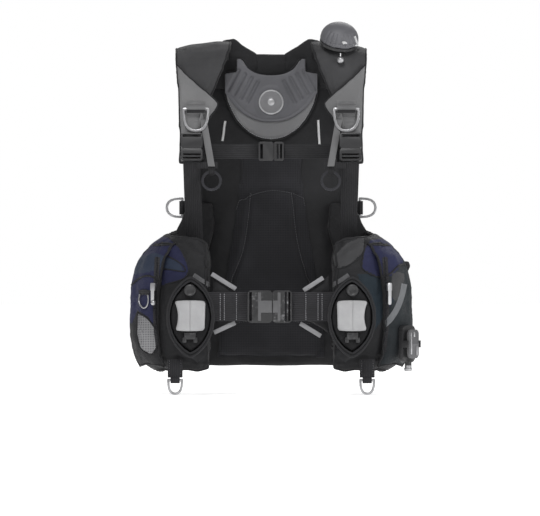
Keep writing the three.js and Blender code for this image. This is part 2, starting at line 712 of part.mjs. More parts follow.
function sideLobe(side) {
  return bentBlock(16, 8, 2, (u, v, w) => {
    const path = u < 0.8 ? u / 0.8 : 1 + (u - 0.8) / 0.2;
    const z = mix(through(LOBE_BOTTOM, path), through(LOBE_TOP, path), v);
    const thick = mix(LOBE.thickBack, LOBE.thick, smooth(path / 0.3)) * crown(v, 0.3);
    return onLobe(side, path, z, (w - 0.5) * thick);
  });
}

function cargoPocket(side) {
  const base = LOBE.thick / 2 + FREE;
  return bentBlock(6, 8, 1, (u, v, w) => {
    const path = mix(POCKET.from, POCKET.to, u);
    const z = mix(POCKET.bottom, POCKET.top, v);
    return onLobe(side, path, z, base + w * POCKET.thick * crown(u, 0.45) * crown(v, 0.45));
  });
}

// pointed oval, tall in Z
function pointedOval(halfWidth, halfHeight) {
  const shape = new THREE.Shape();
  const bulge = halfWidth * 1.33;
  shape.moveTo(0, -halfHeight);
  shape.bezierCurveTo(bulge, -halfHeight * 0.6, bulge, halfHeight * 0.6, 0, halfHeight);
  shape.bezierCurveTo(-bulge, halfHeight * 0.6, -bulge, -halfHeight * 0.6, 0, -halfHeight);
  return shape;
}

// local frame: middle of the holster's rear face
function weightHolster() {
  const { halfWidth, halfHeight, depth, wall, floor } = HOLSTER;
  const outer = plateXZ(pointedOval(halfWidth, halfHeight), -depth, 0, 10);
  const inner = plateXZ(pointedOval(halfWidth - wall, halfHeight - 2 * wall), -depth - 1, -floor, 10);
  return cut(outer, inner);
}

function weightPouch() {
  const { halfWidth, halfHeight, depth, wall, floor } = HOLSTER;
  const half = halfWidth - wall - POUCH.play;
  const tall = halfHeight - 2 * wall - 2 * POUCH.play;
  const bag = plateXZ(pointedOval(half, tall), -depth + 2, -floor - TOUCH, 10);
  const [wide, high] = [POUCH.handleWidth / 2, POUCH.handleHeight / 2];
  const front = -depth - FREE - POUCH.handleThick;
  const grip = plateXZ(roundedOutline(-wide, wide, -high, high, 8), front, -depth - FREE, 4);
  const neck = boxBetween([-POUCH.neck, -depth - 3, -POUCH.neck], [POUCH.neck, -depth + 3, POUCH.neck]);
  return join(bag, neck, grip);
}

// a group on the lobe's outside, -Y pointing out of it; angle 0 is the side, -90 the front
function lobeGroup(side, angle, z, height) {
  const point = onLobe(side, (90 - angle) / 180, z, height);
  const reach = through(LOBE_REACH, z) + height;
  const across = Math.cos(angle * radians) / reach;
  const ahead = Math.sin(angle * radians) / (LOBE.depth + height);
  const group = new THREE.Group();
  group.position.copy(point);
  group.rotation.z = side * Math.atan2(across, -ahead);
  vest.add(group);
  return group;
}

function zipSlider() {
  const { width, length, thick, pull } = ZIP;
  const body = plateXZ(roundedOutline(-width / 2, width / 2, 0, length, 2), -thick, 0, 3);
  const tab = plateXZ(roundedOutline(-width / 2 + 1, width / 2 - 1, -pull, 4, 3), -thick, 2 - thick, 3);
  return join(body, tab);
}

// webbing tab on the front of the lobe with a loop for the ring's bar
function bottomRingTab() {
  const { tabWidth, tabTop, barZ, loopWidth } = BOTTOM_RING;
  const radius = KEEPER.hole + KEEPER.wall;
  const [front, rear] = [-WEBBING.thick, 0];
  const strap = boxBetween([-tabWidth / 2, front, barZ + radius - 1.5], [tabWidth / 2, rear, tabTop]);
  const loop = rod("x", -loopWidth / 2, loopWidth / 2, radius, [-WEBBING.thick / 2, barZ], 14);
  const hole = rod("x", -loopWidth / 2 - 1, loopWidth / 2 + 1, KEEPER.hole, [-WEBBING.thick / 2, barZ], 14);
  return cut(join(strap, loop), hole);
}

for (const [name, side] of sides) {
  add(`side_lobe_${name}`, sideLobe(side), blackCloth);
  add(`cargo_pocket_${name}`, cargoPocket(side), navyCloth);
  const holsterRear = fittingRear;
  const holster = add(`weight_holster_${name}`, weightHolster(), blackCloth);
  holster.position.set(side * HOLSTER.x, holsterRear, HOLSTER.z);
  const pouch = add(`weight_pouch_${name}`, weightPouch(), greyPlastic);
  pouch.position.copy(holster.position);
  const zipHeight = LOBE.thick / 2 + FREE + POCKET.thick + 2 * FREE;
  add(`zip_slider_${name}`, zipSlider(), steel, lobeGroup(side, ZIP.angle, ZIP.z, zipHeight));
  const tab = add(`bottom_ring_tab_${name}`, bottomRingTab(), webbingCloth);
  tab.position.set(side * BOTTOM_RING.x, webbingRear, 0);
  const lowRing = dRing(BOTTOM_RING.width, BOTTOM_RING.drop, BOTTOM_RING.wire);
  const ring = add(`bottom_ring_${name}`, lowRing, steel);
  ring.position.set(side * BOTTOM_RING.x, webbingRear - WEBBING.thick / 2, BOTTOM_RING.barZ);
}

// ---------- waist belt ----------
function beltWing(side) {
  const rear = lobeFront + 3 + WING.thick;
  return bentBlock(5, 4, 1, (u, v, w) => {
    const x = mix(WING.inner, WING.outer, u);
    const bottom = mix(WING.bottomInner, WING.bottomOuter, u);
    const z = mix(bottom, mix(WING.topInner, WING.topOuter, u), v);
    return new THREE.Vector3(side * x, rear - w * WING.thick * crown(v, 0.4), z);
  });
}

function beltWebbing(side, from) {
  const edges = [side * from, side * BELT.end].sort((a, b) => a - b);
  const [bottom, top] = [BELT.z - BELT.width / 2, BELT.z + BELT.width / 2];
  return boxBetween([edges[0], webbingFront, bottom], [edges[1], webbingRear, top]);
}

const waistPlace = new THREE.Group();
waistPlace.position.set(WAIST_BUCKLE.mouthX, fittingRear - WAIST_BUCKLE.thick / 2, BELT.z);
waistPlace.rotation.y = -Math.PI / 2;
vest.add(waistPlace);
const socketEnd = WAIST_BUCKLE.socket - WAIST_BUCKLE.mouthX;
const plugEnd = WAIST_BUCKLE.plug + WAIST_BUCKLE.mouthX;
add("belt_wing_left", beltWing(1), blackCloth);
add("belt_wing_right", beltWing(-1), blackCloth);
add("belt_webbing_left", beltWebbing(1, plugEnd - 10), webbingCloth);
add("belt_webbing_right", beltWebbing(-1, socketEnd - 10), webbingCloth);
add("waist_buckle_socket", buckleSocket(WAIST_BUCKLE), blackPlastic, waistPlace);
add("waist_buckle_plug", bucklePlug(WAIST_BUCKLE), blackPlastic, waistPlace);

// ---------- sternum strap ----------
const sternumRear = -STERNUM.behind;

function sternumWebbing(side, from) {
  const edges = [side * from, side * STERNUM.end].sort((a, b) => a - b);
  const [bottom, top] = [STERNUM.z - STERNUM.width / 2, STERNUM.z + STERNUM.width / 2];
  return boxBetween([edges[0], sternumRear - WEBBING.sternumThick, bottom], [edges[1], sternumRear, top]);
}

const sternumPlace = new THREE.Group();
const sternumDepth = sternumRear - WEBBING.sternumThick - FREE - STERNUM_BUCKLE.thick / 2;
sternumPlace.position.set(STERNUM_BUCKLE.mouthX, sternumDepth, STERNUM.z);
sternumPlace.rotation.y = -Math.PI / 2;
vest.add(sternumPlace);
const sternumSocketEnd = STERNUM_BUCKLE.socket - STERNUM_BUCKLE.mouthX;
const sternumPlugEnd = STERNUM_BUCKLE.plug + STERNUM_BUCKLE.mouthX;
add("sternum_webbing_left", sternumWebbing(1, sternumPlugEnd - 8), webbingCloth);
add("sternum_webbing_right", sternumWebbing(-1, sternumSocketEnd - 8), webbingCloth);
add("sternum_buckle_socket", buckleSocket(STERNUM_BUCKLE), blackPlastic, sternumPlace);
add("sternum_buckle_plug", bucklePlug(STERNUM_BUCKLE), blackPlastic, sternumPlace);

// ---------- shoulder dump valve on the wearer's left ----------
const valveLean = VALVE.lean * radians;
const valveHeight = ARC.radius + STRAP.thick + 2 * FREE;
const valvePlace = new THREE.Group();
const strapMiddle = (STRAP.innerTop + STRAP.outerTop) / 2;
const valveLift = STRAP.tilt * (strapMiddle - VALVE.x) * Math.cos(valveLean) ** 2;
valvePlace.position.set(
  VALVE.x,
  ARC.y - valveHeight * Math.sin(valveLean),
  ARC.z + valveHeight * Math.cos(valveLean) + valveLift,
);
valvePlace.rotation.set(valveLean, STRAP.tilt, 0);
vest.add(valvePlace);

function valveBody() {
  return rod("z", 0, VALVE.thick, VALVE.radius, [0, 0], 24);
}

function valveCover() {
  const { coverRadius, coverHeight, thick } = VALVE;
  const base = thick + TOUCH;
  const rows = [[0, base], [coverRadius, base], [coverRadius, base + 5]];
  for (let step = 1; step <= 5; step += 1) {
    const angle = (step / 6) * (Math.PI / 2);
    rows.push([coverRadius * Math.cos(angle), base + 5 + (coverHeight - 5) * Math.sin(angle)]);
  }
  rows.push([0, base + coverHeight]);
  const profile = rows.map(([radius, height]) => new THREE.Vector2(radius, height));
  return new THREE.LatheGeometry(profile, 24).rotateX(Math.PI / 2);
}

function pullKnob(radius, stemRadius, stem) {
  const ball = new THREE.SphereGeometry(radius, 12, 8);
  return join(ball, rod("z", 0, radius + stem, stemRadius, [0, 0], 8));
}

add("shoulder_valve_body", valveBody(), blackPlastic, valvePlace);
add("shoulder_valve_cover", valveCover(), domePlastic, valvePlace);
const frontKnob = pullKnob(VALVE_KNOB.radius, VALVE_KNOB.stemRadius, VALVE_KNOB.stem - 6);
const valveKnob = add("shoulder_valve_knob", frontKnob, greyPlastic);
valveKnob.position.set(VALVE.x + 3, VALVE_KNOB.y, VALVE_KNOB.z);
valveKnob.rotation.x = -VALVE_KNOB.lean * radians;

// ---------- rear dump valve, low on the jacket back ----------
const rearValveY = shellRear + TOUCH;

function rearValveBody() {
  const { x, z, radius, thick } = REAR_VALVE;
  return rod("y", rearValveY, rearValveY + thick, radius, [x, z], 24);
}

add("rear_valve_body", rearValveBody(), blackPlastic);
const backKnob = pullKnob(REAR_VALVE.knob, VALVE_KNOB.stemRadius, REAR_VALVE.cordDrop - 2);
const rearKnob = add("rear_valve_knob", backKnob, greyPlastic);
const rearKnobDrop = REAR_VALVE.radius + REAR_VALVE.cordDrop + REAR_VALVE.knob;
rearKnob.position.set(REAR_VALVE.x, rearValveY + REAR_VALVE.thick / 2 + 1, REAR_VALVE.z - rearKnobDrop);

// ---------- power inflator on the left lobe ----------
// local frame: middle of the body's rear face, -Y out of the lobe
const leverGap = 4;
const leverAxis = -INFLATOR.thick - leverGap - 3;

function inflatorBody() {
  const { width, height, thick, pin, inletRadius, inletLength } = INFLATOR;
  const base = plateXZ(roundedOutline(-width / 2, width / 2, -height / 2, height / 2, 10), -thick, 0, 4);
  const ears = [-1, 1].map((end) => {
    const edges = [end * (width / 2), end * (width / 2 - 3)].sort((a, b) => a - b);
    return boxBetween([edges[0], leverAxis - 5, -6], [edges[1], 1 - thick, 6]);
  });
  const axle = rod("x", 1 - width / 2, width / 2 - 1, pin, [leverAxis, 0], 12);
  const inlet = rod("z", -height / 2 - inletLength, 2 - height / 2, inletRadius, [0, -thick / 2 - 2.5], 16);
  return join(base, ...ears, axle, inlet);
}

function controlLever() {
  const half = INFLATOR.width / 2 - 3 - FREE;
  const hub = rod("x", -half, half, 4.6, [leverAxis, 0], 14);
  const outline = roundedOutline(-half, half, -INFLATOR.lever / 2, INFLATOR.lever / 2, 8);
  const paddle = plateXZ(outline, leverAxis - 4, leverAxis + 1, 4);
  const hole = rod("x", -half - 1, half + 1, INFLATOR.pin + 0.4, [leverAxis, 0], 12);
  return cut(join(hub, paddle), hole);
}

const inflatorHeight = LOBE.thick / 2 + FREE + POCKET.thick + INFLATOR.standOff;
const inflatorPlace = lobeGroup(1, INFLATOR.angle, INFLATOR.z, inflatorHeight);
add("inflator_body", inflatorBody(), blackPlastic, inflatorPlace);
add("inflator_lever", controlLever(), greyPlastic, inflatorPlace);

export default vest;
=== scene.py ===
import math
import bpy
import numpy as np
from mathutils import Matrix, Vector, noise


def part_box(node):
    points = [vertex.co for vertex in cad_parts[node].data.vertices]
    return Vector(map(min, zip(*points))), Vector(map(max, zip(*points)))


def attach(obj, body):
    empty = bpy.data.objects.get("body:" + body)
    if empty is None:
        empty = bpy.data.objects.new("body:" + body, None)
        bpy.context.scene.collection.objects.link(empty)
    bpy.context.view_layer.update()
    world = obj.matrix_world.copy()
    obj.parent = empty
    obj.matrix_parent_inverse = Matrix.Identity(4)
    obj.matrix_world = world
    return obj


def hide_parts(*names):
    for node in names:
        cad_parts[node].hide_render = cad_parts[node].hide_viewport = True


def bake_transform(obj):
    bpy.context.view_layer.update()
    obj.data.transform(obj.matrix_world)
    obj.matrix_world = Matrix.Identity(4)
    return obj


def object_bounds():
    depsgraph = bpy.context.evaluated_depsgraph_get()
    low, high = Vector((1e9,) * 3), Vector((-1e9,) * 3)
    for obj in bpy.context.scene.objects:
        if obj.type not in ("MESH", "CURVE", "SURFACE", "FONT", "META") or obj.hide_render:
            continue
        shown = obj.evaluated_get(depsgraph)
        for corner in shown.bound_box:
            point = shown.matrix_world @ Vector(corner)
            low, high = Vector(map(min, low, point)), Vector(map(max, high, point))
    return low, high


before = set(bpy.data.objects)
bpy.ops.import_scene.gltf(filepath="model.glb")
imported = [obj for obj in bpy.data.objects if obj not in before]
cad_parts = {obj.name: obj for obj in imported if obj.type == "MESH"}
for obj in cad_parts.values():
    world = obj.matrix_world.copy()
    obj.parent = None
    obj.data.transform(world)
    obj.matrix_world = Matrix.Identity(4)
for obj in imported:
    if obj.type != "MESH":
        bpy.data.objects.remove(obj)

cad_low, cad_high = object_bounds()

# ---------------------------------------------------------------------------
# Backpack plate: an injection-moulded black plate with two rails that cradle
# the tank. Its edges are rounded by the mould, and ribs stiffen the rear.
# ---------------------------------------------------------------------------
def only(piece):
    bpy.ops.object.select_all(action="DESELECT")
    piece.select_set(True)
    bpy.context.view_layer.objects.active = piece


def loose(piece, name):
    """a fresh copy, tied to nothing yet"""
    piece.name = name
    piece.parent = None
    piece.matrix_world = Matrix.Identity(4)
    piece.hide_viewport = False
    piece.hide_render = False
    for key in list(piece.keys()):
        del piece[key]
    bpy.context.scene.collection.objects.link(piece)
    only(piece)


def copy_of(node, name):
    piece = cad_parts[node].copy()
    piece.data = piece.data.copy()
    loose(piece, name)
    piece.data.materials.clear()
    bpy.ops.mesh.customdata_custom_splitnormals_clear()
    bpy.ops.object.mode_set(mode="EDIT")
    bpy.ops.mesh.select_all(action="SELECT")
    bpy.ops.mesh.remove_doubles(threshold=0.00002)
    bpy.ops.object.mode_set(mode="OBJECT")
    return piece


def modify(piece, kind, **settings):
    only(piece)
    modifier = piece.modifiers.new(kind.lower(), kind)
    for key, value in settings.items():
        setattr(modifier, key, value)
    bpy.ops.object.modifier_apply(modifier=modifier.name)
    return piece


def smooth_edges(piece, degrees=35):
    only(piece)
    bpy.ops.object.shade_smooth_by_angle(angle=math.radians(degrees))
    return piece


def round_edges(piece, width, segments=2):
    modify(piece, "BEVEL", width=width, segments=segments, limit_method="ANGLE",
           angle_limit=math.radians(28), use_clamp_overlap=True)
    return smooth_edges(piece)


def moulded(node, name, width=0.0008, segments=2):
    """a hard CAD piece with its flats made whole and its edges rounded by the mould"""
    piece = copy_of(node, name)
    bpy.ops.object.mode_set(mode="EDIT")
    bpy.ops.mesh.select_all(action="SELECT")
    bpy.ops.mesh.dissolve_limited(angle_limit=math.radians(2))
    bpy.ops.object.mode_set(mode="OBJECT")
    return round_edges(piece, width, segments)


def block(name, low, high, bevel=0.001, segments=2):
    """a bar or plate cut from solid, with rounded edges"""
    size = [b - a for a, b in zip(low, high)]
    middle = [(a + b) / 2 for a, b in zip(low, high)]
    bpy.ops.object.select_all(action="DESELECT")
    bpy.ops.mesh.primitive_cube_add(size=1, location=middle)
    piece = bpy.context.object
    piece.name = name
    bpy.ops.object.mode_set(mode="EDIT")
    bpy.ops.transform.resize(value=size)
    bpy.ops.object.mode_set(mode="OBJECT")
    settle(piece)
    return round_edges(piece, bevel, segments)


def settle(piece):
    only(piece)
    bpy.ops.object.transform_apply(location=True, rotation=True, scale=True)
    return piece


def joined(pieces, name):
    bpy.ops.object.select_all(action="DESELECT")
    for piece in pieces:
        piece.select_set(True)
    bpy.context.view_layer.objects.active = pieces[0]
    if len(pieces) > 1:
        bpy.ops.object.join()
    pieces[0].name = name
    return pieces[0]


def belongs(piece, body, slot, *nodes):
    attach(piece, body)
    if nodes:
        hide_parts(*nodes)
    return piece


def paint(piece, *materials):
    piece.data.materials.clear()
    for material in materials:
        piece.data.materials.append(material)
    return piece


class Recipe:
    """a material being built: its nodes and the shader they feed"""

    def __init__(self, name, color, roughness, metallic=0.0, **constants):
        self.material = bpy.data.materials.new(name)
        self.material.use_nodes = True
        self.tree = self.material.node_tree
        self.shader = self.tree.nodes["Principled BSDF"]
        self.color = color
        self.set(self.shader, "Roughness", roughness)
        self.set(self.shader, "Metallic", metallic)
        self.set(self.shader, "Base Color", (*color, 1))
        for key, value in constants.items():
            self.set(self.shader, key.replace("_", " "), value)

    def set(self, node, key, value):
        if hasattr(value, "is_output"):
            self.tree.links.new(value, node.inputs[key])
        else:
            node.inputs[key].default_value = value

    def add(self, kind, out=0, props=None, **inputs):
        node = self.tree.nodes.new(kind)
        for key, value in (props or {}).items():
            setattr(node, key, value)
        for key, value in inputs.items():
            index = int(key[1:]) if key[0] == "i" and key[1:].isdigit() else key.replace("_", " ")
            self.set(node, index, value)
        return node.outputs[out]

    def math(self, operation, a, b=0.0, c=0.0):
        return self.add("ShaderNodeMath", props={"operation": operation}, i0=a, i1=b, i2=c)

    def place(self):
        return self.add("ShaderNodeTexCoord", out="Object")

    def noise(self, scale, detail=3.0, rough=0.55, vector=None):
        return self.add("ShaderNodeTexNoise", out=0, Vector=vector or self.place(), Scale=scale,
                        Detail=detail, Roughness=rough)

    def ramp(self, value, low, high):
        """0 below low, 1 above high"""
        return self.add("ShaderNodeMapRange", Value=value, From_Min=low, From_Max=high)

    def tint(self, factor, first, second):
        node = self.tree.nodes.new("ShaderNodeMix")
        node.data_type = "RGBA"
        self.set(node, 0, factor)
        self.set(node, 6, first if hasattr(first, "is_output") else (*first, 1))
        self.set(node, 7, second if hasattr(second, "is_output") else (*second, 1))
        return node.outputs[2]

    def flat(self):
        """place along the surface: the two coordinates across the way it faces"""
        place = self.add("ShaderNodeSeparateXYZ", i0=self.place()).node
        face = self.add("ShaderNodeSeparateXYZ", i0=self.add("ShaderNodeTexCoord", out="Normal")).node
        size = [self.math("ABSOLUTE", face.outputs[i]) for i in range(3)]
        side = self.math("GREATER_THAN", size[0], size[1])
        top = self.math("GREATER_THAN", size[2], 0.75)
        across = self.math("MULTIPLY_ADD", self.math("SUBTRACT", place.outputs[1], place.outputs[0]), side,
                           place.outputs[0])
        up = self.math("MULTIPLY_ADD", self.math("SUBTRACT", place.outputs[1], place.outputs[2]), top,
                       place.outputs[2])
        return across, up

    def bump(self, height, distance, strength=1.0):
        normal = self.add("ShaderNodeBump", Height=height, Distance=distance, Strength=strength)
        previous = self.shader.inputs["Normal"].links
        if previous:
            self.set(normal.node, "Normal", previous[0].from_socket)
        self.set(self.shader, "Normal", normal)
        return self


def moulded_plastic(name, color, roughness=0.48, wear=(0.3, 0.3, 0.31)):
    """injection-moulded plastic: fine spark grain, faint flow marks, rubbed edges"""
    recipe = Recipe(name, color, roughness, Specular_IOR_Level=0.45)
    grain = recipe.noise(2200, 2)
    flow = recipe.noise(38, 4)
    recipe.bump(grain, 0.00006, 0.5).bump(flow, 0.0004, 0.15)
    edge = recipe.ramp(recipe.add("ShaderNodeNewGeometry", out="Pointiness"), 0.54, 0.66)
    scuffs = recipe.ramp(recipe.noise(160, 5, 0.7), 0.52, 0.7)
    worn = recipe.math("MULTIPLY", edge, scuffs)
    varied = recipe.tint(recipe.ramp(flow, 0.3, 0.7), color, [c * 1.22 + 0.002 for c in color])
    recipe.set(recipe.shader, "Base Color", recipe.tint(recipe.math("MULTIPLY", worn, 0.55), varied, wear))
    recipe.set(recipe.shader, "Roughness", recipe.math("MULTIPLY_ADD", grain, 0.22, roughness - 0.1))
    return recipe.material


black_plastic = moulded_plastic("black_plastic", (0.011, 0.011, 0.012))
PLATE_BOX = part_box("backpack_plate")
plate = moulded("backpack_plate", "backpack_shell", 0.0016, 3)
ribs = []
for i in range(6):
    level = PLATE_BOX[0][2] + 0.035 + i * 0.055
    for side in (-1, 1):
        ends = sorted((side * 0.083, side * 0.1))
        ribs.append(block("rib", (ends[0], -0.0075, level), (ends[1], -0.0035, level + 0.004), 0.0012))
plate = joined([plate] + ribs, "backpack_shell")
smooth_edges(plate)
belongs(paint(plate, black_plastic), "vest", "buckle_plastic", "backpack_plate")

# ---------------------------------------------------------------------------
# Tank pad: a soft rubber strip glued to the plate between the rails, with
# moulded cross ribs that grip the painted tank.
# ---------------------------------------------------------------------------
def rubber(name, color=(0.012, 0.012, 0.012)):
    recipe = Recipe(name, color, 0.78, Specular_IOR_Level=0.3)
    recipe.bump(recipe.noise(900, 4), 0.0001, 0.6)
    dust = recipe.ramp(recipe.noise(25, 5), 0.45, 0.75)
    recipe.set(recipe.shader, "Base Color", recipe.tint(dust, color, (0.035, 0.034, 0.033)))
    recipe.set(recipe.shader, "Roughness", recipe.math("MULTIPLY_ADD", dust, 0.15, 0.7))
    return recipe.material


PAD_LOW, PAD_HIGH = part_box("tank_pad")
pad_base = moulded("tank_pad", "tank_grip_pad", 0.0012, 2)
pad_ribs = []
PAD_RIBS = 12
RIB_INSET = 0.012
for i in range(PAD_RIBS):
    level = PAD_LOW[2] + RIB_INSET + i * (PAD_HIGH[2] - PAD_LOW[2] - 2 * RIB_INSET) / (PAD_RIBS - 1)
    pad_ribs.append(block("pad_rib", (PAD_LOW[0] + 0.006, PAD_HIGH[1] - 0.002, level - 0.0028),
                          (PAD_HIGH[0] - 0.006, PAD_HIGH[1] + 0.0022, level + 0.0028), 0.0018, 3))
pad_base = joined([pad_base] + pad_ribs, "tank_grip_pad")
smooth_edges(pad_base)
belongs(paint(pad_base, rubber("pad_rubber")), "vest", "pad_rubber", "tank_pad")

# ---------------------------------------------------------------------------
# Tank band and carry handle: 50 and 25 mm polyester webbing. The band runs
# through the plate's slots and round the tank; the handle is sewn at its feet.
# ---------------------------------------------------------------------------
def webbing(name, color=(0.026, 0.0255, 0.029), upright=False):
    """woven strap: ribs along its length, slanting yarns across, softer selvedge"""
    recipe = Recipe(name, color, 0.7, Sheen_Weight=0.06, Sheen_Roughness=0.4, Specular_IOR_Level=0.25)
    across, up = recipe.flat()
    length, width = (up, across) if upright else (across, up)
    rows = recipe.math("SINE", recipe.math("MULTIPLY", width, 2 * math.pi / 0.0032))
    lean = recipe.math("ABSOLUTE", rows)
    slant = recipe.math("MULTIPLY", length, 2 * math.pi / 0.0022)
    yarns = recipe.math("SINE", recipe.math("MULTIPLY_ADD", lean, 2.2, slant))
    height = recipe.math("MULTIPLY_ADD", yarns, 0.45, rows)
    recipe.bump(height, 0.00022, 0.8)
    shade = recipe.ramp(height, -1.2, 1.2)
    fade = recipe.ramp(recipe.noise(30, 4), 0.35, 0.75)
    dark = [c * 0.55 for c in color]
    light = [c * 1.6 + 0.004 for c in color]
    faded = recipe.tint(fade, color, light)
    recipe.set(recipe.shader, "Base Color", recipe.tint(shade, dark, faded))
    return recipe.material


def stitches(name, path, gap=0.0042, length=0.0028, thick=0.0005, lift=0.0):
    """a run of lockstitches: small threads that lie end to end on a seam"""
    points = [Vector(p) for p in path]
    places = []
    travelled = 0.0
    for start, end in zip(points, points[1:]):
        span = (end - start).length
        while travelled < span and span > 0:
            places.append((start.lerp(end, travelled / span), (end - start).normalized()))
            travelled += gap
        travelled -= span
    bpy.ops.object.select_all(action="DESELECT")
    bpy.ops.mesh.primitive_ico_sphere_add(subdivisions=1, radius=1)
    seed = bpy.context.object
    unit = np.array([v.co for v in seed.data.vertices]) * (length / 2, thick, thick)
    faces = np.array([list(p.vertices) for p in seed.data.polygons])
    bpy.data.objects.remove(seed)
    verts = []
    polys = []
    for index, (place, way) in enumerate(places):
        turn = np.array(way.to_track_quat("X", "Z").to_matrix())
        verts.append(unit @ turn.T + np.array(place) + (0, 0, lift))
        polys.append(faces + index * len(unit))
    mesh = bpy.data.meshes.new(name)
    if verts:
        mesh.from_pydata(np.concatenate(verts).tolist(), [], np.concatenate(polys).tolist())
    piece = bpy.data.objects.new(name, mesh)
    bpy.context.scene.collection.objects.link(piece)
    mesh.shade_smooth()
    return piece


def thread(name, color):
    recipe = Recipe(name, color, 0.55, Sheen_Weight=0.3)
    twist = recipe.noise(1500, 2)
    recipe.bump(twist, 0.0001, 0.5)
    shadow = [c * 0.7 for c in color]
    glint = [min(1, c * 1.3) for c in color]
    recipe.set(recipe.shader, "Base Color", recipe.tint(twist, shadow, glint))
    return recipe.material


black_thread = thread("black_thread", (0.05, 0.05, 0.055))
grey_thread = thread("grey_thread", (0.32, 0.32, 0.34))
belt_webbing = webbing("level_webbing", (0.019, 0.0185, 0.021))
strap_webbing = webbing("upright_webbing", (0.010, 0.0099, 0.0113), upright=True)

band = moulded("tank_band", "tank_webbing", 0.0007, 2)
belongs(paint(band, belt_webbing), "vest", "webbing", "tank_band")
HANDLE_LOW, HANDLE_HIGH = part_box("carry_handle")
handle = moulded("carry_handle", "carry_strap", 0.0012, 2)
modify(handle, "SUBSURF", levels=1, render_levels=1)
belongs(paint(handle, belt_webbing), "vest", "webbing", "carry_handle")
for side in (-1, 1):
    x = side * (HANDLE_HIGH[0] - 0.007)
    seam = [(x, HANDLE_LOW[1] + 0.0043, HANDLE_LOW[2] + 0.003),
            (x, HANDLE_LOW[1] + 0.0043, HANDLE_HIGH[2] - 0.003)]
    belongs(paint(stitches(f"handle_stitches_{side + 1}", seam), grey_thread), "vest", "webbing")

# ---------------------------------------------------------------------------
# Cam buckle: a stainless frame with its hinge pin, and a moulded lever that
# snaps over to pull the band tight on the tank.
# ---------------------------------------------------------------------------
def metal(name, color, roughness, brushed=0.3):
    """stainless steel: fine draw lines, small scratches and a duller film of salt"""
    recipe = Recipe(name, color, roughness, 1.0)
    lines = recipe.noise(420, 3, 0.6)
    scratch = recipe.noise(90, 6, 0.75)
    recipe.bump(lines, 0.00008, brushed)
    film = recipe.ramp(scratch, 0.4, 0.75)
    recipe.set(recipe.shader, "Roughness", recipe.math("MULTIPLY_ADD", film, 0.22, roughness))
    recipe.set(recipe.shader, "Base Color", recipe.tint(film, color, [c * 0.72 for c in color]))
    return recipe.material


steel = metal("ring_steel", (0.38, 0.38, 0.39), 0.3)
dark_metal = metal("dark_metal", (0.05, 0.05, 0.055), 0.36)
cam_frame = moulded("cam_buckle_frame", "cam_frame", 0.0009, 2)
belongs(paint(cam_frame, dark_metal), "vest", "dark_metal", "cam_buckle_frame")
LEVER_LOW, LEVER_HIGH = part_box("cam_buckle_lever")
lever = moulded("cam_buckle_lever", "cam_lever", 0.0014, 3)
grips = []
for i in range(5):
    x = LEVER_HIGH[0] - 0.008 - i * 0.006
    grips.append(block("grip", (x - 0.0016, LEVER_HIGH[1] - 0.001, LEVER_LOW[2] + 0.008),
                       (x + 0.0016, LEVER_HIGH[1] + 0.0012, LEVER_HIGH[2] - 0.008), 0.001))
lever = joined([lever] + grips, "cam_lever")
smooth_edges(lever)
belongs(paint(lever, black_plastic), "cam_lever", "buckle_plastic", "cam_buckle_lever")

# ---------------------------------------------------------------------------
# Air cell and collar: two layers of coated black nylon over the bladder,
# welded inside and bound with tape round the edge, so it swells between seams.
# ---------------------------------------------------------------------------
def coated_nylon(name, color, light=None, thread_size=0.0011, sheen=0.06, roughness=0.7):
    """coated cloth: plain weave, soft creases, paler where it is rubbed"""
    recipe = Recipe(name, color, roughness, Sheen_Weight=sheen, Sheen_Roughness=0.45,
                    Specular_IOR_Level=0.24)
    across, up = recipe.flat()
    warp = recipe.math("SINE", recipe.math("MULTIPLY", across, 2 * math.pi / thread_size))
    weft = recipe.math("SINE", recipe.math("MULTIPLY", up, 2 * math.pi / thread_size))
    weave = recipe.math("MULTIPLY", warp, weft)
    slub = recipe.noise(70, 5, 0.6)
    recipe.bump(weave, 0.00016, 0.7).bump(slub, 0.0016, 0.35).bump(recipe.noise(14, 3), 0.006, 0.25)
    light = light or [c * 1.55 + 0.003 for c in color]
    rubbed = recipe.ramp(recipe.noise(9, 5, 0.6), 0.42, 0.72)
    shade = recipe.ramp(weave, -1.0, 1.0)
    cloth = recipe.tint(shade, [c * 0.68 for c in color], color)
    edge = recipe.ramp(recipe.add("ShaderNodeNewGeometry", out="Pointiness"), 0.5, 0.62)
    worn = recipe.math("MAXIMUM", recipe.math("MULTIPLY", rubbed, 0.55), recipe.math("MULTIPLY", edge, 0.6))
    recipe.set(recipe.shader, "Base Color", recipe.tint(worn, cloth, light))
    recipe.set(recipe.shader, "Roughness", recipe.math("MULTIPLY_ADD", slub, 0.2, roughness - 0.1))
    return recipe.material


def corners(piece):
    flat = np.empty(len(piece.data.vertices) * 3)
    piece.data.vertices.foreach_get("co", flat)
    return flat.reshape(-1, 3)


def outward(piece):
    flat = np.empty(len(piece.data.vertices) * 3)
    piece.data.vertex_normals.foreach_get("vector", flat)
    return flat.reshape(-1, 3)


def move_to(piece, places):
    piece.data.vertices.foreach_set("co", np.ascontiguousarray(places).ravel())
    piece.data.update()


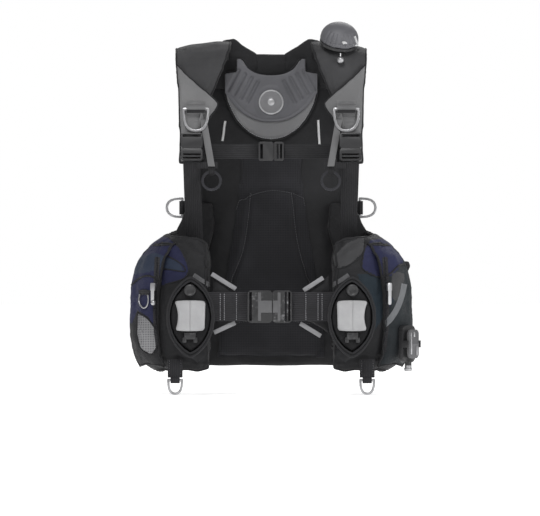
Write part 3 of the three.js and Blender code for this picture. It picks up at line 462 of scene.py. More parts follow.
def stuffed(node, name, voxel=0.005, start_in=0.002, pressure=4.0, cap=0.006, frames=20, relax=3):
    """a sewn cover blown up from inside: CAD solid, remeshed, a little smaller, then pressed out as cloth"""
    piece = copy_of(node, name)
    modify(piece, "REMESH", mode="VOXEL", voxel_size=voxel)
    modify(piece, "SMOOTH", factor=0.5, iterations=relax)
    before = corners(piece) - outward(piece) * start_in
    move_to(piece, before)
    modifier = piece.modifiers.new("cloth", "CLOTH")
    settings = modifier.settings
    settings.quality = 4
    settings.mass = 0.3
    settings.tension_stiffness = 12
    settings.compression_stiffness = 12
    settings.bending_stiffness = 0.6
    settings.use_pressure = True
    settings.uniform_pressure_force = pressure
    settings.effector_weights.gravity = 0
    modifier.collision_settings.use_collision = False
    modifier.point_cache.frame_start = 1
    modifier.point_cache.frame_end = frames
    scene = bpy.context.scene
    for step in range(1, frames + 1):
        scene.frame_set(step)
    shaped = piece.evaluated_get(bpy.context.evaluated_depsgraph_get()).to_mesh()
    flat = np.empty(len(shaped.vertices) * 3)
    shaped.vertices.foreach_get("co", flat)
    piece.to_mesh_clear()
    piece.modifiers.remove(modifier)
    scene.frame_set(1)
    moved = flat.reshape(-1, 3) - before
    far = np.linalg.norm(moved, axis=1, keepdims=True)
    moved *= np.minimum(1.0, cap / np.maximum(far, 1e-9))
    move_to(piece, before + moved)
    modify(piece, "SUBSURF", levels=1, render_levels=1)
    piece.data.shade_smooth()
    return piece


def distance_to(places, lines):
    """how far each place is from the nearest of some polylines"""
    best = np.full(len(places), 1e9)
    for line in lines:
        line = np.array(line, dtype=float)
        for start, end in zip(line, line[1:]):
            way = end - start
            along = np.clip(((places - start) @ way) / max(way @ way, 1e-12), 0, 1)
            best = np.minimum(best, np.linalg.norm(places - start - along[:, None] * way, axis=1))
    return best


def sew(piece, lines, depth=0.0025, width=0.003):
    """pulls the cover in along its seams"""
    places = corners(piece)
    away = distance_to(places, lines)
    move_to(piece, places - outward(piece) * (depth * np.exp(-((away / width) ** 2)))[:, None])


def ruffle(piece, height, size, stretch=(1, 1, 1), seed=0.0, calm=None):
    """soft creases: slow bumps along the surface, longer one way than the other"""
    places = corners(piece)
    ways = outward(piece)
    offset = Vector((seed, seed * 1.7, -seed))
    rise = np.empty(len(places))
    for i, place in enumerate(places):
        point = Vector((place[0] / (size * stretch[0]), place[1] / (size * stretch[1]),
                        place[2] / (size * stretch[2])))
        rise[i] = noise.noise(point + offset) + 0.45 * noise.noise(point * 2.3 + offset)
    if calm:
        rise *= np.array([calm(*place) for place in places])
    move_to(piece, places + ways * (height * rise)[:, None])


def laid_on(piece, path, lift=0.0005, samples=2):
    """a line moved onto the piece's surface"""
    fine = []
    for start, end in zip(path, path[1:]):
        for i in range(samples):
            fine.append(Vector(start).lerp(Vector(end), i / samples))
    fine.append(Vector(path[-1]))
    placed = []
    for point in fine:
        hit, place, normal, _ = piece.closest_point_on_mesh(point)
        placed.append(place + normal * lift)
    return placed


def bead(name, path, radius, closed=False, sides=8):
    """piping or cord: a round tube along a line"""
    curve = bpy.data.curves.new(name, "CURVE")
    curve.dimensions = "3D"
    curve.bevel_depth = radius
    curve.bevel_resolution = max(1, sides // 4)
    curve.use_fill_caps = True
    spline = curve.splines.new("POLY")
    spline.points.add(len(path) - 1)
    for point, place in zip(spline.points, path):
        point.co = (*place, 1)
    spline.use_cyclic_u = closed
    piece = bpy.data.objects.new(name, curve)
    bpy.context.scene.collection.objects.link(piece)
    only(piece)
    bpy.ops.object.convert(target="MESH")
    piece = bpy.context.object
    piece.data.shade_smooth()
    return piece


def curve_through(points, steps=6, closed=False):
    """a smooth line through a few places"""
    knots = [Vector(p) for p in points]
    if closed:
        knots = [knots[-1]] + knots + [knots[0], knots[1]]
    else:
        knots = [knots[0] * 2 - knots[1]] + knots + [knots[-1] * 2 - knots[-2]]
    line = []
    for a, b, c, d in zip(knots, knots[1:], knots[2:], knots[3:]):
        for i in range(steps):
            t = i / steps
            line.append(0.5 * ((2 * b) + (c - a) * t + (2 * a - 5 * b + 4 * c - d) * t * t
                               + (3 * b - a - 3 * c + d) * t ** 3))
    if not closed:
        line.append(knots[-2])
    return line


shell_nylon = coated_nylon("shell_nylon", (0.0095, 0.0095, 0.0107), light=(0.026, 0.026, 0.028))
piping_tape = coated_nylon("edge_tape", (0.008, 0.008, 0.009), thread_size=0.0016)
cell = stuffed("air_cell", "air_cell_cover", voxel=0.0055, start_in=0.0018, cap=0.0042)
CELL_LOW, CELL_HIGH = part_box("air_cell")
places = corners(cell)
collar_part = np.clip((places[:, 2] - 0.218) / 0.03, 0, 1)
places[:, 2] += (CELL_HIGH[2] - 0.004 - places[:, 2].max()) * collar_part
move_to(cell, places)
rear = CELL_HIGH[1]
front = CELL_LOW[1]
seams = []
for side in (-1, 1):
    seams.append([(side * 0.118, rear, -0.28), (side * 0.122, rear, 0.02), (side * 0.135, rear, 0.21)])
    seams.append([(side * 0.118, front, -0.28), (side * 0.120, front, 0.02), (side * 0.120, front, 0.21)])
sew(cell, seams, 0.003, 0.004)
ruffle(cell, 0.0011, 0.05, (1.0, 1.0, 0.6), 3.0)
belongs(paint(cell, shell_nylon), "vest", "shell_cloth", "air_cell")

# ---------------------------------------------------------------------------
# Back pad: spacer mesh over foam, sewn down along an arch so that it hinges
# at the small of the back, with long air channels.
# ---------------------------------------------------------------------------
def spacer_mesh(name, color=(0.0125, 0.0125, 0.0145)):
    recipe = Recipe(name, color, 0.85, Sheen_Weight=0.05, Sheen_Roughness=0.5, Specular_IOR_Level=0.2)
    across, up = recipe.flat()
    pitch = 2 * math.pi / 0.0042 / 1.414
    row = recipe.math("SINE", recipe.math("MULTIPLY", recipe.math("ADD", across, up), pitch))
    column = recipe.math("SINE", recipe.math("MULTIPLY", recipe.math("SUBTRACT", across, up), pitch))
    cells = recipe.math("MULTIPLY", row, column)
    holes = recipe.ramp(cells, 0.15, 0.7)
    recipe.bump(holes, 0.0007, -0.8)
    fade = recipe.ramp(recipe.noise(10, 4), 0.4, 0.7)
    base = recipe.tint(fade, color, [c * 1.6 for c in color])
    # the mesh's openings are painted near black: painted shade inside the holes
    recipe.set(recipe.shader, "Base Color", recipe.tint(holes, base, (0.003, 0.003, 0.004)))
    return recipe.material


pad_mesh = spacer_mesh("spacer_mesh", (0.0145, 0.0145, 0.0165))
back_pad = stuffed("back_pad", "back_cushion", voxel=0.005, start_in=0.0025, cap=0.006)
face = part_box("back_pad")[0][1]
arch = curve_through([(-0.085, face, 0.0), (-0.049, face, 0.013), (0.0, face, 0.026), (0.05, face, 0.018),
                      (0.085, face, 0.004)])
centre_lines = [curve_through([(s * 0.036, face, 0.02), (s * 0.05, face, -0.08), (s * 0.088, face, -0.17)])
                for s in (-1, 1)]
low_arch = curve_through([(-0.095, face, -0.215), (0.0, face, -0.2), (0.095, face, -0.215)])
sew(back_pad, [arch, low_arch] + centre_lines, 0.005, 0.0045)
ruffle(back_pad, 0.0008, 0.035, seed=8.0)
belongs(paint(back_pad, pad_mesh), "vest", "mesh_cloth", "back_pad")
for index, line in enumerate([arch, low_arch] + centre_lines):
    run = stitches(f"back_stitches_{index}", laid_on(back_pad, line, 0.0003, 1))
    belongs(paint(run, black_thread), "vest", "mesh_cloth")

# ---------------------------------------------------------------------------
# Yoke: a padded grey cloth band shaped like a U, with a ribbed grey moulding
# on it that runs up to the neck, and a plain round medallion.
# ---------------------------------------------------------------------------
def made_of(name, places, edges, faces):
    """a new piece from its own corners, edges and faces"""
    mesh = bpy.data.meshes.new(name)
    mesh.from_pydata([tuple(p) for p in places], edges, faces)
    piece = bpy.data.objects.new(name, mesh)
    bpy.context.scene.collection.objects.link(piece)
    return piece


def face_out(piece):
    """turns every face outwards"""
    only(piece)
    bpy.ops.object.mode_set(mode="EDIT")
    bpy.ops.mesh.select_all(action="SELECT")
    bpy.ops.mesh.normals_make_consistent(inside=False)
    bpy.ops.object.mode_set(mode="OBJECT")
    return piece


def wire(name, places, edges, radius):
    """a cord along a chain of edges"""
    only(made_of(name, places, edges, []))
    bpy.ops.object.convert(target="CURVE")
    piece = bpy.context.object
    piece.data.bevel_depth = radius
    piece.data.bevel_resolution = 2
    piece.data.use_fill_caps = True
    bpy.ops.object.convert(target="MESH")
    piece = bpy.context.object
    piece.data.shade_smooth()
    return piece


def rim(node, cover, name, radius, keep=None, lift=0.0, angle=50, step=0.004):
    """a tape or cord sewn along the sharp edges of a piece"""
    source = copy_of(node, name)
    bpy.ops.object.mode_set(mode="EDIT")
    bpy.ops.mesh.select_mode(type="EDGE")
    bpy.ops.mesh.select_all(action="DESELECT")
    bpy.ops.mesh.edges_select_sharp(sharpness=math.radians(angle))
    bpy.ops.object.mode_set(mode="OBJECT")
    places = corners(source)
    chosen = [tuple(e.vertices) for e in source.data.edges if e.select]
    if keep:
        chosen = [(a, b) for a, b in chosen if keep(*((places[a] + places[b]) / 2))]
    bpy.data.objects.remove(source)
    spots = []
    number = {}
    links = []

    def spot(place):
        key = tuple(np.round(place, 6))
        if key not in number:
            number[key] = len(spots)
            spots.append(Vector(place))
        return number[key]

    for a, b in chosen:
        parts = max(1, round(np.linalg.norm(places[b] - places[a]) / step))
        chain = [spot(places[a] + (places[b] - places[a]) * i / parts) for i in range(parts + 1)]
        links.extend(zip(chain, chain[1:]))
    neighbours = {}
    for a, b in links:
        neighbours.setdefault(a, []).append(b)
        neighbours.setdefault(b, []).append(a)
    for _ in range(4):
        eased = list(spots)
        for i, near in neighbours.items():
            if len(near) == 2:
                eased[i] = spots[i] * 0.5 + (spots[near[0]] + spots[near[1]]) * 0.25
        spots = eased
    laid = []
    for place in spots:
        _, hit, normal, _ = cover.closest_point_on_mesh(place)
        laid.append(hit + normal * lift)
    return wire(name, laid, links, radius)


def fold_down(piece, lines, depth, width):
    """a step or ridge pressed into a moulding along some lines; a negative depth stands proud"""
    places = corners(piece)
    away = distance_to(places, lines)
    dip = np.clip(1 - (away / width) ** 2, 0, 1)
    move_to(piece, places - outward(piece) * (depth * dip)[:, None])


grey_cloth = coated_nylon("grey_nylon", (0.165, 0.165, 0.17), light=(0.235, 0.235, 0.24))
dome_plastic = moulded_plastic("dome_plastic", (0.07, 0.07, 0.077), 0.55, wear=(0.22, 0.22, 0.22))
yoke_plastic = moulded_plastic("yoke_plastic", (0.062, 0.062, 0.069), 0.55, wear=(0.19, 0.19, 0.19))
yoke = stuffed("yoke_panel", "yoke_band", voxel=0.003, start_in=0.0015, cap=0.0032)
YOKE_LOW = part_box("yoke_panel")[0]


def across_yoke(front, half, middle):
    """a smooth line across the yoke, from the widths and heights of one half and the middle's height"""
    left = [(-x, front, z) for x, z in half]
    right = [(x, front, z) for x, z in reversed(half)]
    return curve_through(left + [(0, front, middle)] + right)


SEAM_HALF = [(0.0785, 0.186), (0.068, 0.165), (0.052, 0.1405), (0.029, 0.1225)]
inner_seam = across_yoke(YOKE_LOW[1], SEAM_HALF, 0.1175)
sew(yoke, [inner_seam], 0.0012, 0.002)
ruffle(yoke, 0.0005, 0.02, seed=2.0)
belongs(paint(yoke, grey_cloth), "vest", "pad_cloth", "yoke_panel")
belongs(paint(stitches("yoke_stitches", laid_on(yoke, inner_seam, 0.0002, 1)), grey_thread), "vest",
        "pad_cloth")
yoke_rim = rim("yoke_panel", yoke, "yoke_binding", 0.0018, lambda x, y, z: y < YOKE_LOW[1] + 0.001)
belongs(paint(yoke_rim, piping_tape), "vest", "shell_cloth")

MOULD_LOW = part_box("yoke_plate")[0]
mould = copy_of("yoke_plate", "yoke_moulding")
modify(mould, "REMESH", mode="VOXEL", voxel_size=0.0013)
modify(mould, "SMOOTH", factor=0.5, iterations=5)
ridges = []
for side in (-1, 1):
    for i in range(4):
        x = side * (0.0765 - i * 0.0115)
        ridges.append([(x, MOULD_LOW[1], 0.203 - i * 0.007),
                       (x - side * 0.019, MOULD_LOW[1], 0.238 - i * 0.0065)])
fold_down(mould, ridges, 0.0026, 0.0038)
FRAME_HALF = [(0.077, 0.202), (0.05, 0.170), (0.024, 0.1545)]
frame_line = across_yoke(MOULD_LOW[1], FRAME_HALF, 0.1515)
fold_down(mould, [frame_line], 0.0009, 0.002)
seat = np.linalg.norm(corners(mould)[:, (0, 2)] - (0, 0.182), axis=1)
move_to(mould, corners(mould) + outward(mould) * (0.0009 * np.clip((0.031 - seat) / 0.004, 0, 1))[:, None])
mould.data.shade_smooth()
belongs(paint(mould, yoke_plastic), "vest", "dome_plastic", "yoke_plate")

BADGE_LOW, BADGE_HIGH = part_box("yoke_badge")
badge_middle = (BADGE_LOW + BADGE_HIGH) / 2
badge_radius = (BADGE_HIGH[0] - BADGE_LOW[0]) / 2


def turned(name, profile, middle, axis="Y", sides=64):
    """a lathe-turned piece: radius and height along the axis, row by row"""
    verts = []
    for radius, height in profile:
        for i in range(sides):
            angle = 2 * math.pi * i / sides
            a = radius * math.cos(angle)
            b = radius * math.sin(angle)
            verts.append({"Y": (a, -height, b), "Z": (a, b, height), "X": (height, a, b)}[axis])
    faces = []
    for row in range(len(profile) - 1):
        for i in range(sides):
            j = (i + 1) % sides
            faces.append((row * sides + i, row * sides + j, (row + 1) * sides + j, (row + 1) * sides + i))
    faces.append(tuple(range(sides)))
    faces.append(tuple(range((len(profile) - 1) * sides, len(profile) * sides)))
    placed = [Vector(v) + Vector(middle) for v in verts]
    return smooth_edges(face_out(made_of(name, placed, [], faces)))


badge_plastic = moulded_plastic("badge_grey", (0.12, 0.12, 0.125), 0.4)
bright_trim = metal("bright_trim", (0.42, 0.42, 0.43), 0.36, 0.15)
badge_rim = [(0.001, 0), (0, 0.0006), (0, 0.0022), (0.0006, 0.0028), (0.0022, 0.003), (0.003, 0.0022),
             (0.006, 0.0018)]
badge_profile = [(badge_radius - step, height) for step, height in badge_rim]
badge_profile += [(0.008, 0.0018), (0.006, 0.0028), (0.0005, 0.0031)]
badge = turned("yoke_medallion", badge_profile, (badge_middle[0], BADGE_HIGH[1], badge_middle[2]))
paint(badge, badge_plastic, bright_trim)
for face in badge.data.polygons:
    out = math.hypot(face.center[0] - badge_middle[0], face.center[2] - badge_middle[2])
    face.material_index = 1 if out > badge_radius - 0.003 or out < 0.0065 else 0
belongs(badge, "vest", "badge_plastic", "yoke_badge")

# ---------------------------------------------------------------------------
# Shoulder straps: black padded straps cut from the shell's nylon over foam,
# bound with tape. They come over the shoulders and narrow down the front.
# ---------------------------------------------------------------------------
def mirrored(piece, name):
    twin = piece.copy()
    twin.data = piece.data.copy()
    loose(twin, name)
    move_to(twin, corners(twin) * (-1, 1, 1))
    bpy.ops.object.mode_set(mode="EDIT")
    bpy.ops.mesh.select_all(action="SELECT")
    bpy.ops.mesh.flip_normals()
    bpy.ops.object.mode_set(mode="OBJECT")
    return twin


def on_side(piece, side, name):
    """the left piece itself, or its mirrored twin on the right"""
    return piece if side == "left" else mirrored(piece, f"{name}_right")


def front_of(piece, points, lift=0.0):
    """places on the piece's front, each straight behind its point in front view"""
    placed = []
    for x, z in points:
        found, place, normal, _ = piece.ray_cast(Vector((x, -1, z)), Vector((0, 1, 0)))
        if not found:
            _, place, normal, _ = piece.closest_point_on_mesh(Vector((x, -0.22, z)))
        placed.append(place + normal * lift)
    return placed


strap_nylon = coated_nylon("strap_nylon", (0.036, 0.036, 0.038), light=(0.062, 0.062, 0.065))
strap = stuffed("shoulder_strap_left", "shoulder_pad_shell_left", voxel=0.0045, start_in=0.001, cap=0.0034)
strap_seams = [front_of(strap, [(0.1, 0.285), (0.101, 0.22), (0.108, 0.16), (0.121, 0.1)]),
               front_of(strap, [(0.152, 0.272), (0.15, 0.2), (0.148, 0.1)])]
sew(strap, strap_seams, 0.0014, 0.0028)
ruffle(strap, 0.001, 0.035, (1.6, 1, 0.8), 5.0)
strap_rim = rim("shoulder_strap_left", strap, "strap_binding_left", 0.0019)
for side in ("left", "right"):
    body = on_side(strap, side, "shoulder_pad_shell")
    belongs(paint(body, strap_nylon), "vest", "shell_cloth", f"shoulder_strap_{side}")
    belongs(paint(on_side(strap_rim, side, "strap_binding"), piping_tape), "vest", "shell_cloth")

# ---------------------------------------------------------------------------
# Grey strap pads: a second layer on the front of each strap, with a slanted
# top edge, black binding, and the keeper that holds the chest ring's bar.
# ---------------------------------------------------------------------------
def inside(points, outline):
    """which of these flat places lie in an outline"""
    x, y = points[:, 0], points[:, 1]
    held = np.zeros(len(points), bool)
    for (ax, ay), (bx, by) in zip(outline, outline[1:] + outline[:1]):
        cross = ((ay > y) != (by > y)) & (x < (bx - ax) * (y - ay) / (by - ay + 1e-12) + ax)
        held ^= cross
    return held


def let_in(piece, index, outline):
    """a panel of another cloth, cut to an outline in front view"""
    outline = [(x / 1000, z / 1000) for x, z in outline]
    count = len(piece.data.polygons)
    centres = np.empty(count * 3)
    ways = np.empty(count * 3)
    kinds = np.empty(count, np.int32)
    piece.data.polygons.foreach_get("center", centres)
    piece.data.polygons.foreach_get("normal", ways)
    piece.data.polygons.foreach_get("material_index", kinds)
    centres = centres.reshape(-1, 3)
    chosen = inside(centres[:, (0, 2)], outline) & (ways.reshape(-1, 3)[:, 1] < 0.25)
    kinds[chosen] = index
    piece.data.polygons.foreach_set("material_index", kinds)
    piece.data.update()


def sewn_line(piece, name, points, radius, material, body="vest", slot_name="shell_cloth", lift=0.0003):
    """piping or a seam cord over a line given in front view, in millimetres"""
    flat = curve_through([(x / 1000, 0, z / 1000) for x, z in points], 8)
    cord = bead(name, front_of(piece, [(p[0], p[2]) for p in flat], lift), radius)
    return belongs(paint(cord, material), body, slot_name)


def tape(name, piece, points, width, thick=0.0008, lift=0.0004, count=24):
    """flat tape along a line given in front view, in millimetres"""
    knots = curve_through([(x / 1000, 0, z / 1000) for x, z in points], 8)
    picks = [knots[round(i * (len(knots) - 1) / count)] for i in range(count + 1)]
    verts = []
    rows = 5
    for i, point in enumerate(picks):
        ahead = picks[min(i + 1, count)] - picks[max(i - 1, 0)]
        across = Vector((-ahead[2], 0, ahead[0])).normalized()
        line = [point + across * width * (j / (rows - 1) - 0.5) for j in range(rows)]
        verts.extend(front_of(piece, [(p[0], p[2]) for p in line], lift))
    faces = []
    for i in range(count):
        for j in range(rows - 1):
            a = i * rows + j
            faces.append((a, a + 1, a + rows + 1, a + rows))
    strip = modify(made_of(name, verts, [], faces), "SOLIDIFY", thickness=thick, offset=0)
    return smooth_edges(face_out(strip), 60)


pad_cloth = coated_nylon("pad_nylon", (0.135, 0.135, 0.138), light=(0.19, 0.19, 0.192))
# pale grey piping cloth; on the dump valve's dome it also makes a pale bead that is a painted highlight
pale_piping_and_highlight = coated_nylon("pale_piping_and_highlight", (0.42, 0.42, 0.43), light=(0.6, 0.6, 0.6), thread_size=0.0008)
pad = stuffed("shoulder_pad_left", "strap_pad_left", voxel=0.0034, start_in=0.0012, cap=0.0024)
pad_line = front_of(pad, [(0.155, 0.225), (0.1, 0.172), (0.107, 0.15), (0.117, 0.1), (0.12, 0.075)])
sew(pad, [front_of(pad, [(0.158, 0.24), (0.093, 0.178)]), pad_line], 0.0007, 0.0018)
ruffle(pad, 0.0005, 0.024, seed=9.0)
pad_rim = rim("shoulder_pad_left", pad, "pad_binding_left", 0.0015,
              lambda x, y, z: not (0.11 < x < 0.152 and 0.155 < z < 0.18))
KEEPER_X = 0.131
RING_BAR = Vector((KEEPER_X, -0.17601, 0.16612))
DOWN = Vector((0, -0.1392, -0.9903))
OUT = Vector((0, -0.9903, 0.1392))


def keeper_loop(name):
    """webbing folded over the ring's bar, its two ends sewn down on the pad"""
    half = 0.0165
    line = [(-0.0032, -0.016), (-0.002, -0.009), (0.003, -0.0062), (0.0058, -0.003), (0.0066, 0.0005),
            (0.0054, 0.0042), (0.0022, 0.0066), (-0.0015, 0.0068)]
    smooth_line = curve_through([(0, a, b) for a, b in line], 4)
    verts = []
    for point in smooth_line:
        for x in np.linspace(-half, half, 7):
            verts.append(RING_BAR + Vector((x, 0, 0)) + OUT * point[1] + DOWN * point[2])
    faces = []
    for row in range(len(smooth_line) - 1):
        for i in range(6):
            a = row * 7 + i
            faces.append((a, a + 1, a + 8, a + 7))
    piece = modify(made_of(name, verts, [], faces), "SOLIDIFY", thickness=0.0014, offset=0)
    return smooth_edges(face_out(piece), 50)


keeper = keeper_loop("ring_keeper_left")
keeper_cloth = coated_nylon("keeper_cloth", (0.11, 0.11, 0.113), light=(0.16, 0.16, 0.162),
                            thread_size=0.0018)
# a dark strip on the pad just above the keeper loop: painted shadow cast by the loop
keeper_shadow_piece = block("keeper_shadow_left", (0.115, -0.1845, 0.1592), (0.147, -0.1830, 0.1648), 0.0006, 2)
ring_strip = tape("ring_patch_left", pad, [(131, 160), (131, 142), (131, 127)], 0.030, 0.0009, 0.0006)
SLIVERS = {"left": [(83, 151), (84, 130), (85.5, 108)],
           "right": [(-81, 149), (-83, 137), (-84, 126), (-86, 114)]}
for side in ("left", "right"):
    body = on_side(pad, side, "strap_pad")
    belongs(paint(body, pad_cloth), "vest", "pad_cloth", f"shoulder_pad_{side}")
    belongs(paint(on_side(pad_rim, side, "pad_binding"), piping_tape), "vest", "shell_cloth")
    belongs(paint(on_side(keeper, side, "ring_keeper"), keeper_cloth), "vest", "webbing")
    belongs(paint(on_side(keeper_shadow_piece, side, "keeper_shadow"), piping_tape), "vest", "pad_cloth")
    belongs(paint(on_side(ring_strip, side, "ring_patch"), keeper_cloth), "vest", "pad_cloth")
    edge_line = front_of(cell, [(x / 1000, z / 1000) for x, z in SLIVERS[side]], 0.0008)
    belongs(paint(bead(f"strap_piping_{side}", edge_line, 0.0021), pale_piping_and_highlight), "vest", "pad_cloth")

# ---------------------------------------------------------------------------
# Rings: stainless D-rings of 4.5 mm wire on the chest, sides and hem, and the
# blackened round pull rings on the strap tails.
# ---------------------------------------------------------------------------
for side in ("left", "right"):
    for kind in ("chest_ring", "side_ring", "bottom_ring", "pull_ring"):
        finish_of, slot_name = (dark_metal, "dark_metal") if kind == "pull_ring" else (steel, "ring_steel")
        ring = moulded(f"{kind}_{side}", f"{kind}_wire_{side}", 0.0017, 3)
        belongs(paint(ring, finish_of), f"{kind}_{side}", slot_name, f"{kind}_{side}")

# ---------------------------------------------------------------------------
# Shoulder buckles and lower straps: moulded side-release buckles, the plug
# threaded with the webbing that runs down to the lobe, and its sewn tail.
# ---------------------------------------------------------------------------
buckle_plastic = moulded_plastic("buckle_plastic", (0.013, 0.013, 0.014), 0.4)
for side, way in (("left", 1), ("right", -1)):
    socket = moulded(f"shoulder_buckle_socket_{side}", f"shoulder_socket_{side}", 0.0009, 2)
    belongs(paint(socket, buckle_plastic), "vest", "buckle_plastic", f"shoulder_buckle_socket_{side}")
    plug = moulded(f"shoulder_buckle_plug_{side}", f"shoulder_plug_{side}", 0.0009, 2)
    belongs(paint(plug, buckle_plastic), f"shoulder_plug_{side}", "buckle_plastic",
            f"shoulder_buckle_plug_{side}")
    low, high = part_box(f"lower_strap_{side}")
    tail = moulded(f"lower_strap_{side}", f"lower_webbing_{side}", 0.0006, 2)
    paint(tail, strap_webbing)
    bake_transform(tail)
    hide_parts(f"lower_strap_{side}")
    tab = moulded(f"side_ring_tab_{side}", f"side_ring_webbing_{side}", 0.0006, 2)
    belongs(paint(tab, strap_webbing), "vest", "webbing", f"side_ring_tab_{side}")

LEASH_HALF = 0.006
LEASH_FOOT = 0.066
LEASH_TOP = 0.148
for side, way in (("left", 1), ("right", -1)):
    leash = block(f"pull_leash_{side}", (-LEASH_HALF, -0.1955, LEASH_FOOT),
                  (LEASH_HALF, -0.1937, LEASH_TOP), 0.0006)
    only(leash)
    bpy.ops.object.mode_set(mode="EDIT")
    bpy.ops.mesh.select_all(action="SELECT")
    bpy.ops.mesh.bisect(plane_co=(0, 0, 0.09), plane_no=(0, 0, 1))
    bpy.ops.mesh.select_all(action="SELECT")
    bpy.ops.mesh.bisect(plane_co=(0, 0, 0.12), plane_no=(0, 0, 1))
    bpy.ops.object.mode_set(mode="OBJECT")
    leash_places = corners(leash)
    rise = (leash_places[:, 2] - LEASH_FOOT) / (LEASH_TOP - LEASH_FOOT)
    leash_places[:, 1] += 0.0185 * rise
    leash_places[:, 0] += way * (0.1035 + 0.0145 * rise)
    move_to(leash, leash_places)
    paint(leash, keeper_cloth)
    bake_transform(leash)

# ---------------------------------------------------------------------------
# Side lobes: the air cell's front wings, black nylon with navy panels let in,
# swollen between seams and bound round the edge.
# ---------------------------------------------------------------------------
navy_nylon = coated_nylon("navy_nylon", (0.0105, 0.012, 0.042), light=(0.025, 0.029, 0.08))
teal_nylon = coated_nylon("teal_nylon", (0.0075, 0.014, 0.021), light=(0.02, 0.032, 0.043))
charcoal_nylon = coated_nylon("charcoal_nylon", (0.034, 0.034, 0.036), light=(0.065, 0.065, 0.067))
# lighter blue cloth for a band on the right lobe and pocket: a painted highlight where the cloth folds
fold_highlight_nylon = coated_nylon("fold_highlight_nylon", (0.018, 0.027, 0.05), light=(0.032, 0.043, 0.07))
lobe = stuffed("side_lobe_left", "lobe_cover_left", voxel=0.0055, start_in=0.004, cap=0.0048, relax=6)
lobe_seams = [front_of(lobe, [(0.118, -0.06), (0.112, -0.12), (0.11, -0.2), (0.118, -0.28)]),
              front_of(lobe, [(0.13, -0.272), (0.16, -0.262), (0.2, -0.268), (0.235, -0.262)]),
              front_of(lobe, [(0.12, -0.085), (0.15, -0.06), (0.19, -0.055)])]
sew(lobe, lobe_seams, 0.003, 0.004)


def under_belt(x, y, z):
    """the cloth lies flat under the belt and the holster"""
    return 0.25 if y < -0.19 and -0.275 < z < -0.115 and x < 0.185 else 1.0


ruffle(lobe, 0.0032, 0.042, (1, 1, 1.8), 12.0, under_belt)
ruffle(lobe, 0.0015, 0.018, (1.9, 1, 0.7), 4.0, under_belt)
lobe_rim = rim("side_lobe_left", lobe, "lobe_binding_left", 0.0022, angle=55)
lobes = {"left": lobe, "right": mirrored(lobe, "lobe_cover_right")}
for side in ("left", "right"):
    body = lobes[side]
    paint(body, shell_nylon, navy_nylon, charcoal_nylon, teal_nylon, fold_highlight_nylon)
    belongs(body, "vest", "shell_cloth", f"side_lobe_{side}")
    belongs(paint(on_side(lobe_rim, side, "lobe_binding"), piping_tape), "vest", "shell_cloth")
RIGHT_NAVY = [(-240, -104), (-224, -66), (-204, -50), (-178, -58), (-156, -80), (-142, -112), (-150, -128),
              (-186, -140), (-244, -142)]
let_in(lobes["right"], 1, RIGHT_NAVY)
# the band of lighter blue is a painted highlight along a fold, let in like a panel
FOLD_HIGHLIGHT_PATCH = [(-236, -92), (-200, -84), (-160, -100), (-150, -116), (-190, -112), (-238, -122)]
let_in(lobes["right"], 4, FOLD_HIGHLIGHT_PATCH)
let_in(lobes["left"], 2, [(106, -92), (130, -68), (163, -54), (160, -82), (138, -104), (112, -112)])
let_in(lobes["left"], 3, [(150, -120), (186, -124), (206, -150), (205, -180), (166, -236), (160, -190)])
let_in(lobes["left"], 1, [(160, -84), (172, -62), (205, -58), (222, -90), (216, -110), (188, -126),
                          (158, -112)])
# a black cord along the edge of the painted fold highlight
FOLD_HIGHLIGHT_EDGE = [(-236, -92), (-200, -84), (-160, -100), (-150, -116), (-190, -112), (-232, -120)]
sewn_line(lobes["right"], "fold_highlight_edge_right", FOLD_HIGHLIGHT_EDGE, 0.001, piping_tape)
RIGHT_NAVY_SEAM = [(-205, -50), (-178, -57), (-157, -78), (-143, -110), (-150, -128), (-184, -139)]
sewn_line(lobes["right"], "navy_seam_right", RIGHT_NAVY_SEAM, 0.0011, piping_tape)
CHARCOAL_SEAM = [(107, -94), (112, -111), (137, -104), (159, -84), (163, -56)]
sewn_line(lobes["left"], "charcoal_seam_left", CHARCOAL_SEAM, 0.001, piping_tape)
sewn_line(lobes["left"], "navy_seam_left", [(160, -84), (158, -111), (188, -126), (214, -111)], 0.0011,
          piping_tape)

# ---------------------------------------------------------------------------
# Cargo pockets: bellows pockets on the sides of the lobes, navy above and
# black below, with a mesh drain panel, a curved zip flap and piping.
# ---------------------------------------------------------------------------
pocket = stuffed("cargo_pocket_left", "pocket_cover_left", voxel=0.0045, start_in=0.0025, cap=0.0042,
                 relax=5)
places = corners(pocket)
high = np.clip((places[:, 2] + 0.118) / 0.056, 0, 1) ** 2
low = np.clip((-0.245 - places[:, 2]) / 0.04, 0, 1) ** 2
move_to(pocket, places - np.stack([0.015 * high + 0.006 * low, -0.01 * high,
                                   0.004 * high * (places[:, 0] > 0.2)], axis=1))
ruffle(pocket, 0.0023, 0.03, (1, 1, 1.5), 21.0)
ruffle(pocket, 0.0008, 0.013, (1.5, 1, 0.8), 2.0)
pocket_rim = rim("cargo_pocket_left", pocket, "pocket_binding_left", 0.0019, angle=50)
light_mesh = spacer_mesh("drain_mesh", (0.16, 0.16, 0.165))
light_band = coated_nylon("light_band", (0.11, 0.115, 0.125), light=(0.17, 0.175, 0.18))
pocket_nylon = coated_nylon("pocket_nylon", (0.009, 0.012, 0.0145), light=(0.022, 0.027, 0.031))
pockets = {"left": pocket, "right": mirrored(pocket, "pocket_cover_right")}
for side in ("left", "right"):
    body = pockets[side]
    base = pocket_nylon if side == "left" else shell_nylon
    paint(body, base, navy_nylon, light_mesh, teal_nylon, charcoal_nylon, fold_highlight_nylon)
    belongs(body, "vest", "pocket_cloth", f"cargo_pocket_{side}")
    belongs(paint(on_side(pocket_rim, side, "pocket_binding"), piping_tape), "vest", "pocket_cloth")
